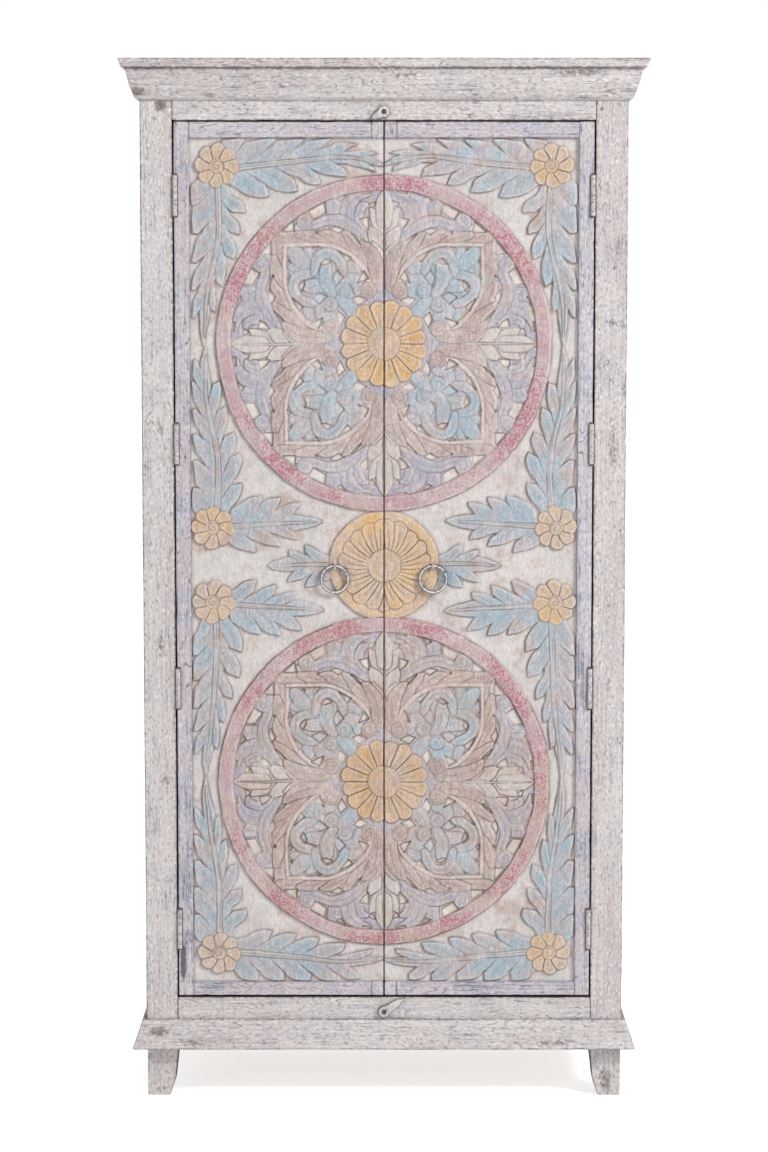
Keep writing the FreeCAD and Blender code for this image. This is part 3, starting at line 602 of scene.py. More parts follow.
class Medallion:
    """A medallion: the pattern of one half quarter is laid above and below its middle, and swapped about
    the diagonal."""

    def __init__(self, relief, centre_z, radius, tones):
        self.relief, self.centre_z, self.tones = relief, centre_z, tones
        self.unit = radius / PATTERN_UNITS

    def stamps(self, points, swap=True):
        """The points at each of their places."""
        k = self.unit
        for side in (1, -1):
            for one, other in ((0, 1), (1, 0)) if swap else ((0, 1),):
                yield [(p[one] * k, self.centre_z + side * p[other] * k, *(w * k for w in p[2:]))
                       for p in points]

    def blades(self, blades, height, name, swap=True, **shape):
        """Like blades at all their places."""
        for points in blades:
            for placed in self.stamps(points, swap):
                self.relief.blade(placed, height, self.tones[name], **shape)

    def pockets(self, outlines, depth, name, swap=True, line=0.9):
        """Pockets of one depth at all their places."""
        for outline in outlines:
            for placed in self.stamps(outline, swap):
                self.relief.pocket(placed, depth, self.tones[name], line)

    def palmettes(self):
        """The palmettes: side blades, mirrored across the seam beside it, then the tips and the stems."""
        for points in PALMETTE_BLADES:
            for placed in self.stamps(points):
                self.palmette_blade(placed)
                if placed[-1][0] < 20 * self.unit:
                    self.palmette_blade([(-across, up, half) for across, up, half in placed])
        for line, height in ((PALMETTE_TIP, 3.2), (PALMETTE_STEM, 3.3)):
            level, rising, _, falling = self.stamps(line)
            for placed in (level, rising, falling):
                self.relief.blade(placed, height, self.tones["palmette"], line=0.8)

    def palmette_blade(self, points):
        """One side blade of a palmette."""
        self.relief.blade(points, 3.1, self.tones["palmette"], vein=0.15, dome=0.5, fade=0.3)

    def knobs(self):
        """The curled knobs; the curl turns the other way across the diagonal and below the middle."""
        for place, radius, name in KNOBS:
            for side in (1, -1):
                for across, up in (place, place[::-1]):
                    centre = (across * self.unit, self.centre_z + side * up * self.unit)
                    self.relief.disc(centre, radius * self.unit, 3.7, self.tones[name], dome=0.9, hollow=0.35,
                                     spiral=side if across > up else -side, line=0.4)

    def rosette(self):
        """The rosette in the middle."""
        flower(self.relief, (0, self.centre_z), 16.5 * self.unit, 43.5 * self.unit, 16, ROSETTE_HEIGHT,
               self.tones["flower"], self.tones["middle"], 0.7, flutes=0.5)


def medallion(relief, centre_z, radius, band, tones):
    """A medallion from its ground up: scrolls, palmettes, the blue field, lobes, acanthus, the ogee band,
    knobs and pockets, then the ring and the rosette."""
    made = Medallion(relief, centre_z, radius, tones)
    relief.disc((0, centre_z), 155 * made.unit, 2.0, tones["scroll"], line=0)
    made.blades(SCROLL_BLADES, 2.9, "scroll", vein=0.3, dome=0.8, line=0.85, fade=0.4)
    made.palmettes()
    made.pockets([BLUE_OUTLINE + [(b, a) for a, b in BLUE_OUTLINE[-2:0:-1]]], 2.2, "leaf", False, 0.3)
    made.blades(OGEE_LOBES, 3.5, "ogee", vein=0.3, dome=0.7, line=0.8, fade=0.4)
    made.blades(ACANTHUS_BLADES[:3], 3.3, "leaf", dome=0.7, line=0.45)
    made.blades(ACANTHUS_MIDDLE, 3.5, "leaf", False, dome=0.8, line=0.4, fade=0.4)
    made.blades(ACANTHUS_BLADES[3:], 3.7, "leaf", dome=0.9, vein=0.3, line=0.7)
    made.blades([OGEE_BAND], 4.0, "ogee_band", dome=0.3, count=34, line=0.7)
    made.knobs()
    made.pockets(POCKETS, 0.3, "pocket")
    made.pockets(LIGHT_POCKETS, 1.4, "light")
    relief.disc((0, centre_z), radius - band / 2, 4.4, tones["ring"], dome=0.5, ring=band / 2, speckle=1.0)
    made.rosette()


# The middles of the small rosettes
ROSETTES = ((286, 1621), (296, 1001), (296, 871.5), (288, 255))

# The leaves beside the medallions: rib, tips towards the border, tips towards the medallion; and what they
# share: notch, hook and reach of the lobes on either side, half widths of body and rib
OUTER_LOBES = (0.76, 0.02, 0.62)
INNER_LOBES = (0.5, 0.14, 0.5)
LEAF_BODY = 15
LEAF_RIB = 4.6
SIDE_LEAVES = [
    ([(286, 1600), (281.7, 1518.5), (289.7, 1465.9), (302.9, 1411.5), (307.5, 1356.9), (307.7, 1316)],
     [(329, 1553), (330, 1506), (330.5, 1457), (331, 1410), (329, 1362)],
     [(237, 1540), (246.5, 1503), (256, 1461), (276, 1414), (289, 1370)]),
    ([(288, 1020), (283.4, 1097), (288.7, 1130), (298.2, 1176), (308.8, 1250), (306, 1312)],
     [(329, 1072), (330, 1118), (330.6, 1163), (330.8, 1208), (330.8, 1254), (327, 1292)],
     [(246, 1080), (248, 1132), (257.7, 1167), (272, 1211), (282.5, 1254)]),
    ([(291, 852), (293.2, 702), (306, 620), (309, 568)],
     [(331, 778), (331, 735), (331.4, 686), (331.4, 646), (330, 606)],
     [(246, 784), (249.6, 740.4), (263.7, 702), (278, 660.8), (289, 615)]),
    ([(287, 274), (289.6, 402.7), (306, 500), (309, 563)],
     [(332, 324), (333, 372), (333, 419), (333, 464), (331, 512)],
     [(241, 333.6), (249.6, 370), (258.2, 413.4), (276, 457), (288, 502)]),
]

# The lying leaves: rib, lobes above it and below it (tips, notch, hook, reach), half widths of body and
# rib
LYING_LEAVES = [
    ([(270, 1616), (242, 1617), (146.5, 1628.7), (79.2, 1636), (22.2, 1630), (0, 1621)],
     ([(237, 1667), (184, 1667), (136, 1667), (88, 1667), (44, 1657), (8, 1642)], 0.76, 0.22, 0.83),
     ([(195, 1569), (146, 1578), (107, 1590), (62, 1603), (14, 1610)], 0.58, 0.12, 0.4), 15, 4.6),
    ([(270, 257), (246.7, 257.2), (147, 246.5), (68.3, 239.4), (0, 244)],
     ([(194, 293), (152, 287), (112, 280), (66, 273), (18, 262)], 0.58, 0.12, 0.4),
     ([(222, 205), (174, 205), (128, 205), (84, 205), (42, 208)], 0.66, 0.02, 0.6), 15, 4.6),
    ([(270, 1004), (196.6, 1008.2), (108, 1013)],
     ([(211, 1057), (178, 1055), (143, 1046)], 0.8, 0.06, 0.15),
     ([(221, 959), (178, 969), (147, 981)], 0.62, 0.12, 0.2), 19, 4.0),
    ([(270, 867), (180, 862.5), (106, 857)],
     ([(220, 910), (184, 901), (150, 889)], 0.55, 0.1, 0.25),
     ([(213, 816), (179, 814), (143.5, 822)], 0.75, 0.1, 0.2), 19, 4.0),
    ([(80, 937), (145, 938), (200, 934)],
     ([(137, 971), (166, 962)], 0.6, 0.1, 0.25),
     ([(137, 898), (166, 907)], 0.7, 0.1, 0.25), 17, 3.6),
]


# The sun's heights over the ground: its disc, its rim and its petals, and half the rim's width
SUN_DISC = 3.2
SUN_RIM = 3.9
SUN_PETALS = 3.3
RIM_HALF = 9


def lay_sun(relief, given, tones):
    """The sun: a disc with a raised rim and many swirling petals."""
    centre, radius = (0, given.sun_z), given.sun_radius
    relief.disc(centre, radius, SUN_DISC, tones["sun"])
    relief.disc(centre, radius - RIM_HALF, SUN_RIM, tones["sun"], dome=0.5, ring=RIM_HALF, line=0.7)
    flower(relief, centre, 29, 80, 18, SUN_PETALS, tones["sun"], tones["middle"], 0.95, swirl=0.004,
           flutes=1.1)


def dirty_medallion(relief, centre_z, radius, umber):
    """Browns the paint of a medallion in patches and darkens its cuts, out to just past its ring."""
    within = np.clip((radius + 4 - np.hypot(relief.x, relief.z - centre_z)) / 8, 0, 1)
    browned = 0.36 * within * np.clip(0.45 + 0.9 * relief.noise(34, 70), 0, 1)
    relief.paint += browned[..., None] * (umber - relief.paint)
    relief.crevice = np.minimum(relief.crevice * (1 + 0.45 * within), 1.0)


def carve_door(across, up, seed, given):
    """The whole field of one door, from the border inwards, then its ripple, its rubbed wear with painted
    highlight and shade, and its edges, painted dark as shade along the seam and the frame. The lower
    medallion is dirtier."""
    tones = {name: chosen(name) for name in (*CARVED_PAINTS, *GLAZES)}
    relief = Relief(across, up, seed, tones["ground"])
    for rib, outer, inner in SIDE_LEAVES:
        leaf(relief, rib, ((outer, *OUTER_LOBES), (inner, *INNER_LOBES)), tones, LEAF_BODY, LEAF_RIB)
    for rib, above, below, body, rib_half in LYING_LEAVES:
        leaf(relief, rib, (above, below), tones, body, rib_half)
    lay_sun(relief, given, tones)
    for centre_z in (given.upper_medallion_z, given.lower_medallion_z):
        medallion(relief, centre_z, given.medallion_radius, given.medallion_band, tones)
    for place in ROSETTES:
        flower(relief, place, 12.5, 38, 8, ROSETTE_HEIGHT, tones["gold"], tones["gold"], 0.65, turn=0.2,
               swirl=0.008)
    ripple = relief.noise(9, 40) * 0.16 + rough_noise(relief.x, relief.z / 6, 2.5, seed + 50, 2) * 0.08
    relief.height = np.clip(relief.height + ripple, LOWEST, HIGHEST)
    # painted highlight, with rubbed wear, on what stands out of the carving, and painted shade in what lies
    # low
    relief.worn_highlight_and_shade(tones["ridge"][0], tones["hollow"][0])
    dirty_medallion(relief, given.lower_medallion_z, given.medallion_radius, tones["umber"][0])
    # painted shade: the paint is darkened along the seam between the doors and along the field's edges under
    # the frame, where the cuts also sink
    edge = np.minimum(np.minimum(across[-1] - relief.x, relief.z - up[0]), up[-1] - relief.z)
    seam = ridge(relief.x - across[0], 0.7)
    relief.crevice = np.maximum(relief.crevice, 0.3 * np.maximum(ridge(edge, 1.2), seam))
    relief.height -= 0.8 * seam + 0.4 * ridge(edge, 1.6)
    return relief


# Boards

# A board's section lies in the first two axes and is carried along the third
AXES = {"x": (1, 2, 0), "y": (2, 0, 1), "z": (0, 1, 2)}

# Distances between the points round a section
PLAIN_SPACING = 6.0
HINGE_SPACING = 4.5
FOOT_SPACING = 5.0
PLANK_SPACING = 14.0

# Distances from an arris at which a section has two more points, and how far from it the rubbing reaches
ARRIS_STEPS = (1.6, 4.0)
RUB_REACH = 1.5

# Sizes of a board's broad hollows, its fine unevenness and its chips
HOLLOW_CELL = 42
FINE_CELL = 11
CHIP_CELL = 26

# Worn places of the boards: (across, up, half width, half height, how much)
SCARS = {
    "left_front_stile": [(-380, 1722, 13, 13, 1.75), (-392, 1700, 10, 12, 1.1), (-387, 796, 12, 45, 1.05),
                         (-380, 561, 16, 30, 0.95)],
    "right_front_stile": [(394, 1140, 14, 75, 1.05), (408, 998, 5, 6, 1.6), (371, 1715, 6, 6, 1.5),
                          (400, 1480, 12, 50, 0.9)],
    "left_door_outer_stile": [(-351, 237, 6, 38, 2.8), (-342, 1123, 5, 24, 1.45)],
    "right_door_outer_stile": [(353, 708, 6, 28, 1.4), (350, 420, 8, 60, 1.0)],
    "right_front_foot": [(390, 30, 20, 30, 1.2)],
    "left_front_foot": [(-392, 12, 20, 10, 1.1)],
    "base_moulding_front": [(-395, 118, 28, 12, 1.3), (-330, 100, 60, 12, 1.0), (290, 100, 110, 14, 1.0)],
    "cornice_front": [(-420, 1745, 25, 12, 1.3), (40, 1772, 60, 12, 1.0), (330, 1776, 70, 10, 1.15)],
}


def rectangle(left, bottom, right, top):
    """A rectangle's corners, in order round it."""
    return [(left, bottom), (right, bottom), (right, top), (left, top)]


def worn_outline(corners, arris, spacing):
    """A board's section: each corner becomes a quadratic curve over the arris length, and the straight
    sides are divided to the spacing. Returns the points, their outward directions and their nearness to a
    corner, which counts in full from a bend of 60 degrees and not at all up to 10."""
    corners = np.asarray(corners, float)
    following = np.roll(corners, -1, 0)
    if (corners[:, 0] * following[:, 1] - following[:, 0] * corners[:, 1]).sum() < 0:
        corners = corners[::-1]
    before, after = np.roll(corners, 1, 0), np.roll(corners, -1, 0)
    heading = np.arctan2(*(after - corners).T)
    bend = np.abs((heading - np.roll(heading, 1) + math.pi) % (2 * math.pi) - math.pi)
    sharp = np.clip((np.degrees(bend) - 10) / 50, 0, 1)
    points, near = [], []
    for p, c, n, here, there in zip(before, corners, after, sharp, np.roll(sharp, -1)):
        back, on = p - c, n - c
        side = np.hypot(*on)
        r = min(arris, np.hypot(*back) * 0.3, side * 0.3)
        start, end = c + back / np.hypot(*back) * r, c + on / side * r
        for t in (0.0, 0.5, 1.0):
            points.append((1 - t) ** 2 * start + 2 * t * (1 - t) * c + t ** 2 * end)
            near.append(here)
        run = n + (c - n) / side * min(arris, side * 0.3) - end
        length = np.hypot(*run)
        steps = [step for step in ARRIS_STEPS if step < length * 0.4]
        first = steps[-1] if steps else 0
        middle = np.linspace(first, length - first, max(int(length / spacing), 1) + 1)
        marks = [*steps, *middle, *(length - step for step in steps)]
        for s in sorted({round(mark, 3) for mark in marks if 0 < mark < length}):
            points.append(end + run * s / length)
            near.append(max(here * math.exp(-s / RUB_REACH), there * math.exp(-(length - s) / RUB_REACH)))
    points = np.array(points)
    along = np.roll(points, -1, 0) - np.roll(points, 1, 0)
    out = np.stack([along[:, 1], -along[:, 0]], 1)
    return points, out / np.maximum(np.hypot(*out.T), 1e-9)[:, None], np.array(near)


def push_off(spots, keep_off):
    """Pushes the points beside a hinge straight away from its axis to the barrel's clear radius."""
    (hinge_x, hinge_y, radius), heights = keep_off
    dx, dy = spots[..., 0] - hinge_x, spots[..., 1] - hinge_y
    away = np.maximum(np.hypot(dx, dy), 1e-6)
    level = sum(np.abs(spots[..., 2] - z) <= half for z, half in heights) > 0
    push = np.where(level & (away < radius), radius / away, 1.0)
    spots[..., 0], spots[..., 1] = hinge_x + dx * push, hinge_y + dy * push


def stations(length, edge, spacing):
    """Where a board's sections lie, as shares of its length: close together at both ends."""
    near = np.array([0, edge * 0.35, edge])
    middle = np.linspace(edge * 2, length - edge * 2, max(int(length / spacing), 3))
    return np.concatenate([near, middle, length - near[::-1]]) / length


def worn_depth(place, p, q, near, seed, wear):
    """How far each point is worn inwards: broad hollows, fine unevenness, and chips along the arrises."""
    hollow = rough_noise(place * 0.35 + p, q + 0.6 * p, HOLLOW_CELL, seed)
    hollow = hollow + 0.25 * rough_noise(place, p + q, FINE_CELL, seed + 5, 2)
    chip = np.clip(rough_noise(place, p + q, CHIP_CELL, seed + 11) - 0.35, 0, 1) * near
    return wear.hollows * np.clip(0.5 + 0.6 * hollow, 0, 1) + wear.chips * chip


def rubbed(node, near, to_end, spots):
    """How rubbed each point is: by how near an arris and an end it lies, and by the node's scars."""
    rub = np.maximum(near + 0 * to_end, np.exp(-to_end / RUB_REACH))
    for x, z, half_wide, half_high, share in SCARS.get(node, ()):
        scar = np.exp(-((spots[..., 0] - x) / half_wide) ** 2 - ((spots[..., 2] - z) / half_high) ** 2)
        rub = np.maximum(rub, share * scar)
    return rub


def carry(name, axis, corners, ends, wash, node, seed, body="cabinet", keep_off=None, spacing=PLAIN_SPACING,
          narrowing=None, shaded_sides=(), stain=0.0):
    """A board: its worn section carried along an axis between its ends, which are numbers, or functions of
    the section's points where an end is mitred. Each point is moved inwards by the hollows' noise, by
    chips near an arris and at the ends. narrowing moves the points for a foot; keep_off pushes them off the
    hinges. The sides that face the directions given for the shaded sides are painted dark as shade, as in a
    gap between parts, and stain gives an even real grime over the whole board."""
    wear = bpy.context.scene.trastero_wear
    outline, out, near = worn_outline(corners, wear.arris, spacing)
    low, high = (end(outline) if callable(end) else np.full(len(outline), float(end)) for end in ends)
    length = (high - low).max()
    edge = min(wear.arris, length * 0.1)
    share = stations(length, edge, wear.station)
    if keep_off:
        stops = [z + s * half + step for z, half in keep_off[1] for s in (-1, 1) for step in (-0.6, 0.6)]
        share = np.unique(np.concatenate([share, (np.array(stops) - low.min()) / length]))
    inset = np.zeros((len(share), 1))
    inset[[0, -1]], inset[[1, -2]] = edge, edge * 0.35
    place = low + share[:, None] * (high - low)
    p, q = np.broadcast_to(outline[:, 0], place.shape), np.broadcast_to(outline[:, 1], place.shape)
    inward = worn_depth(place, p, q, near, seed, wear) + inset
    spots = np.zeros(place.shape + (3,))
    for k, values in zip(AXES[axis], (p - out[:, 0] * inward, q - out[:, 1] * inward, place)):
        spots[..., k] = values
    if narrowing:
        spots = narrowing(spots)
    if keep_off:
        push_off(spots, keep_off)
    rub = rubbed(node, near, np.minimum(place - low, high - place), spots)
    # the even stain is real grime over the board; the sides that face the given directions get painted shade,
    # dark as in a gap between parts
    grime = np.full(place.shape, stain)
    for direction in shaded_sides:
        grime = np.maximum(grime, np.clip((out @ direction - 0.75) * 8, 0, 1) + 0 * place)
    index = np.arange(place.size).reshape(place.shape)
    beside = np.roll(index, -1, 1)
    sides = np.stack([index[:-1], beside[:-1], beside[1:], index[1:]], -1).reshape(-1, 4)
    faces = [*sides.tolist(), index[0, ::-1].tolist(), index[-1].tolist()]
    make_piece(name, spots.reshape(-1, 3), faces, f"{wash}_{axis}", body, node,
               {"rub": rub.ravel(), "grime": grime.ravel()})


def plain_board(node, axis, seed, shaded_sides=(), keep_off=None):
    """A whitewashed rectangular board of the node's own box."""
    low, high = box(node)
    a, b, c = AXES[axis]
    carry(node + "_worn", axis, rectangle(low[a], low[b], high[a], high[b]), (low[c], high[c]), "whitewash",
          node, seed, keep_off=keep_off, spacing=HINGE_SPACING if keep_off else PLAIN_SPACING, shaded_sides=shaded_sides)


def ringed(name, rings, finish, body, node, attributes):
    """A piece from closed rings of points, each ring joined to the next and the last to the first."""
    rings = np.asarray(rings, float)
    index = np.arange(rings.shape[0] * rings.shape[1]).reshape(rings.shape[:2])
    after, beside = np.roll(index, -1, 0), np.roll(index, -1, 1)
    faces = np.stack([index, beside, np.roll(after, -1, 1), after], -1).reshape(-1, 4)
    make_piece(name, rings.reshape(-1, 3), faces.tolist(), finish, body, node, attributes, 40.0)


# Materials


class Wire:
    """One output of a node. A sign between wires and numbers adds the Math node that reckons it."""

    def __init__(self, nodes, socket):
        self.nodes, self.socket = nodes, socket

    def __add__(self, other):
        return self.nodes.math("ADD", self, other)

    def __sub__(self, other):
        return self.nodes.math("SUBTRACT", self, other)

    def __rsub__(self, other):
        return self.nodes.math("SUBTRACT", other, self)

    def __mul__(self, other):
        return self.nodes.math("MULTIPLY", self, other)

    def __truediv__(self, other):
        return self.nodes.math("DIVIDE", self, other)

    def __abs__(self):
        return self.nodes.math("ABSOLUTE", self)


class Nodes:
    """Adds nodes to one tree."""

    def __init__(self, tree):
        self.tree = tree

    def place(self, kind, inputs=None, **settings):
        """Adds a node, sets its options, and links its inputs or sets them to plain values."""
        made = self.tree.nodes.new(kind)
        for key, value in settings.items():
            setattr(made, key, value)
        for key, value in (inputs or {}).items():
            if isinstance(value, Wire):
                self.tree.links.new(value.socket, made.inputs[key])
            else:
                made.inputs[key].default_value = value
        return made

    def add(self, kind, inputs, output=0, **settings):
        """Adds a node and gives one of its outputs."""
        return Wire(self, self.place(kind, inputs, **settings).outputs[output])

    def math(self, operation, *values):
        return self.add("ShaderNodeMath", dict(enumerate(values)), operation=operation)

    def vector(self, operation, first, second):
        return self.add("ShaderNodeVectorMath", {0: first, 1: second}, operation=operation)

    def greatest(self, first, *others):
        """The greatest of some values, point by point."""
        for other in others:
            first = self.math("MAXIMUM", first, other)
        return first

    def noise(self, place, scale, detail=2.0, rough=0.5, bent=0.0):
        inputs = {"Vector": place, "Scale": scale, "Detail": detail, "Roughness": rough, "Distortion": bent}
        return self.add("ShaderNodeTexNoise", inputs, "Fac")

    def band(self, value, low, high, to_low=0.0, to_high=1.0):
        """The value spread from low..high to a new span, eased and clamped."""
        inputs = {"Value": value, "From Min": low, "From Max": high, "To Min": to_low, "To Max": to_high}
        return self.add("ShaderNodeMapRange", inputs, interpolation_type="SMOOTHSTEP")

    def blend(self, share, first, second):
        """A mix of two colours; share is how much of the second."""
        return self.add("ShaderNodeMix", {0: share, 6: first, 7: second}, 2, data_type="RGBA")

    def brighten(self, color, share):
        return self.add("ShaderNodeVectorMath", {0: color, "Scale": share}, operation="SCALE")

    def attribute(self, name, output="Fac"):
        return self.add("ShaderNodeAttribute", None, output, attribute_type="GEOMETRY", attribute_name=name)

    def use(self, name, inputs):
        """A shared group with its inputs linked or set; its outputs."""
        used = self.place("ShaderNodeGroup", inputs, node_tree=bpy.data.node_groups[name])
        return [Wire(self, output) for output in used.outputs]


def group(name, inputs, outputs, build):
    """A node group. inputs gives each input's kind, or its default where it is a number; build gets the
    nodes and the inputs and gives the outputs in order."""
    tree = bpy.data.node_groups.new(name, "ShaderNodeTree")
    for label, given in inputs.items():
        kind = given if isinstance(given, str) else "Float"
        socket = tree.interface.new_socket(name=label, in_out="INPUT", socket_type="NodeSocket" + kind)
        if given != kind:
            socket.default_value = given
    for label in outputs:
        kind = "Color" if label == "Color" else "Float"
        tree.interface.new_socket(name=label, in_out="OUTPUT", socket_type="NodeSocket" + kind)
    nodes = Nodes(tree)
    source = tree.nodes.new("NodeGroupInput").outputs
    made = build(nodes, {label: Wire(nodes, source[label]) for label in inputs})
    sink = tree.nodes.new("NodeGroupOutput").inputs
    for label, value in zip(outputs, made):
        tree.links.new(value.socket, sink[label])


FINISH = ("Color", "Roughness", "Height")
WASH_INPUTS = {"Place": "Vector", "Grain": "Vector", "Paint": "Color", "Warm": "Color", "Cool": "Color",
               "Wood": "Color", "Chalk": "Color", "Speckle": 0.5, "Lines": 0.4, "Wear": 0.3, "Edges": 0.7,
               "Rub": 0.0, "Grime": 0.0}
DABS_INPUTS = {"Place": "Vector", "Amount": 1.0, "Fineness": 300.0}
IRON_INPUTS = {"Place": "Vector", "Pale": "Color", "Dark": "Color", "Marks": 260.0, "Shade": 0.0}
CARVED_INPUTS = {"Place": "Vector", "Paint": "Color", "Crevice": 0.0, "Dabs": 0.0, "Dirt": "Color",
                 "Line": "Color", "Chalk": "Color", "Dab": "Color", "Umber": "Color", "Teal": "Color"}


def worn_wash(nodes, given):
    """Thin paint over rough boards: tinted patches, a fine speckle, thin wavy lines where the grain's noise
    crosses even levels, broken scratches, and bare wood along the arrises and in a few clumps. On the turn
    buttons the bare wood is also painted shade, on their sides and in the recess and bore. A dark glaze gives
    painted shade on the sides that face a gap between parts, and real grime on the back planks."""
    place, speckled = given["Place"], given["Speckle"]
    grain = nodes.vector("MULTIPLY", place, given["Grain"])
    long_grain = nodes.vector("MULTIPLY", grain, given["Grain"])
    curly = nodes.vector("ADD", nodes.vector("MULTIPLY", place, (0.12, 0.12, 0.12)), grain)
    patches = nodes.noise(grain, 11.0, 3.0, 0.55)
    clumps = nodes.noise(place, 22.0, 4.0, 0.7)
    speckle = nodes.noise(nodes.vector("ADD", grain, place), 120.0, 3.0, 0.6)
    fibres = nodes.noise(long_grain, 300.0, 2.0, 0.5)
    rings = nodes.math("FRACT", nodes.noise(curly, 14.5, 3.0, 0.45) * 26.0)
    ring_line = nodes.band(abs(rings - 0.5), 0.03, 0.13, 1.0, 0.0)
    scratch = nodes.band(abs(nodes.noise(long_grain, 95.0, 3.0, 0.6) - 0.5), 0.0, 0.022, 1.0, 0.0)
    breaks = nodes.band(nodes.noise(grain, 75.0, 2.0, 0.6), 0.44, 0.56)
    lines = ring_line * given["Lines"] * breaks * nodes.band(clumps, 0.40, 0.55, 1.0, 0.15)
    scratched = scratch * nodes.band(clumps, 0.42, 0.62) * given["Lines"]
    clumped = nodes.band(clumps * 0.7 + speckle * 0.3, 0.61, 0.66) * given["Wear"]
    # the rub is wear along the arrises and at the scars; on the turn buttons it is also painted shade on
    # their sides and in the recess and bore, and shows as bare wood
    rubbing_and_shade = given["Rub"] * (speckle * 1.8 + clumps * 1.4)
    bare = nodes.greatest(lines, scratched, clumped, nodes.band(rubbing_and_shade, 1.0, 1.9, 0.0, given["Edges"]),
                          nodes.band(rubbing_and_shade, 1.9, 2.5, 0.0, 0.95))
    color = nodes.blend(nodes.band(patches, 0.38, 0.60), given["Warm"], given["Paint"])
    color = nodes.blend(nodes.band(clumps, 0.47, 0.68, 0.0, 0.8), color, given["Cool"])
    color = nodes.blend(nodes.band(speckle, 0.30, 0.46, 1.0, 0.0) * speckled * 0.75, color, given["Chalk"])
    color = nodes.blend(nodes.band(speckle, 0.54, 0.68) * speckled * 0.5, color, given["Wood"])
    color = nodes.blend(bare, color, given["Wood"])
    # painted shade: a dark glaze on the sides that face a gap between parts, and real grime over the back
    # planks
    color = nodes.blend(given["Grime"], color, opaque(chosen("grime")[0]))
    height = fibres * 0.5 - (bare * 0.6 + speckle * 0.7)
    return (nodes.brighten(color, nodes.band(fibres, 0.32, 0.68, 0.93, 1.06)),
            nodes.band(bare, 0.0, 1.0, 0.74, 0.88), height)


def dabs(nodes, given):
    """Small dry-brushed dabs of one colour, thick in some places and missing in others."""
    where = nodes.band(nodes.noise(given["Place"], 8.0, 3.0, 0.6), 0.34, 0.62)
    edge = 0.64 - where * 0.20
    spots = nodes.noise(given["Place"], given["Fineness"], 3.0, 0.75)
    return [nodes.band(spots, edge, edge + 0.12) * given["Amount"]]


def hammered_iron(nodes, given):
    """Iron with hammer marks: a cell pattern, its hollows darker, and dark where it is shaded."""
    inputs = {"Vector": given["Place"], "Scale": given["Marks"]}
    cells = nodes.add("ShaderNodeTexVoronoi", inputs, feature="SMOOTH_F1")
    grime = nodes.noise(given["Place"], 160.0, 3.0, 0.6)
    color = nodes.blend(nodes.band(cells * 0.5 + grime * 0.6, 0.42, 0.78), given["Pale"], given["Dark"])
    return (nodes.blend(given["Shade"], color, given["Dark"]), nodes.band(grime, 0.3, 0.7, 0.42, 0.66), cells)


def carved_paint(nodes, given):
    """The painted carving: dry-brushed strokes and speckle, white showing through in patches, dirt beside
    the cuts, umber and teal stains, crimson dabs on the rings, broken dark lines in the cuts."""
    place = given["Place"]
    strokes = nodes.noise(nodes.vector("MULTIPLY", place, (240, 240, 60)), 1.0, 2.0, 0.5, 1.2)
    fine = nodes.noise(place, 260.0, 3.0, 0.65)
    clouds = nodes.noise(place, 17.0, 4.0, 0.62)
    stains = nodes.noise(place, 34.0, 4.0, 0.62)
    speck = strokes * 0.45 + fine * 0.55
    dry = nodes.band(speck * 0.55 + clouds * 0.45, 0.45, 0.62, 0.0, 0.5)
    dirty = nodes.band(clouds * 0.8 + fine * 0.2, 0.53, 0.69, 0.0, 0.5)
    dabbed, = nodes.use("dabs", {"Place": place, "Amount": given["Dabs"]})
    broken = given["Crevice"] * nodes.band(fine, 0.35, 0.62, 0.6, 1.0)
    color = nodes.blend(dry, given["Paint"], given["Chalk"])
    for share, over in ((dirty, "Dirt"), (nodes.band(stains, 0.54, 0.70, 0.0, 0.4), "Umber"),
                        (nodes.band(stains, 0.32, 0.44, 0.26, 0.0), "Teal"), (dabbed * 0.75, "Dab"),
                        (broken, "Line")):
        color = nodes.blend(share, color, given[over])
    return (nodes.brighten(color, nodes.band(speck, 0.36, 0.64, 0.88, 1.11)),
            nodes.band(fine, 0.3, 0.7, 0.74, 0.86), speck)


def opaque(tone):
    """A tone with full alpha."""
    return (*(float(c) for c in tone), 1.0)


def empty_material(name):
    """A new material, its nodes and its Object coordinates."""
    material = bpy.data.materials.new(name)
    material.use_nodes = True
    material.node_tree.nodes.clear()
    nodes = Nodes(material.node_tree)
    return material, nodes, nodes.add("ShaderNodeTexCoord", None, "Object")


def finish_material(name, metal, depth, shared, build):
    """A material with one shader over a shared group. build gives the group's inputs from the nodes and
    the place; depth is how deep its marks are, in metres."""
    _, nodes, place = empty_material(name)
    color, rough, height = nodes.use(shared, {"Place": place, **build(nodes, place)})
    bump = nodes.add("ShaderNodeBump", {"Height": height, "Distance": depth, "Strength": 0.6})
    shader = nodes.add("ShaderNodeBsdfPrincipled", {"Base Color": color, "Roughness": rough, "Normal": bump,
                                                    "Metallic": metal, "Specular IOR Level": 0.3})
    nodes.place("ShaderNodeOutputMaterial", {"Surface": shader})


GRAIN = {"x": (0.16, 1.0, 1.0), "y": (1.0, 0.16, 1.0), "z": (1.0, 1.0, 0.16)}


def wash(name, axis, speckle, lines, wear, edges=0.0):
    """Paint over boards whose grain runs along an axis."""
    def build(nodes, place):
        inputs = dict(zip(("Paint", "Warm", "Cool", "Wood", "Chalk"), map(opaque, chosen(name))))
        inputs.update({"Grain": GRAIN[axis], "Speckle": speckle, "Lines": lines, "Wear": wear,
                       "Edges": edges})
        if edges:
            inputs.update({"Rub": nodes.attribute("rub"), "Grime": nodes.attribute("grime")})
        return inputs
    finish_material(f"{name}_{axis}", 0.0, 0.0008, "worn_wash", build)


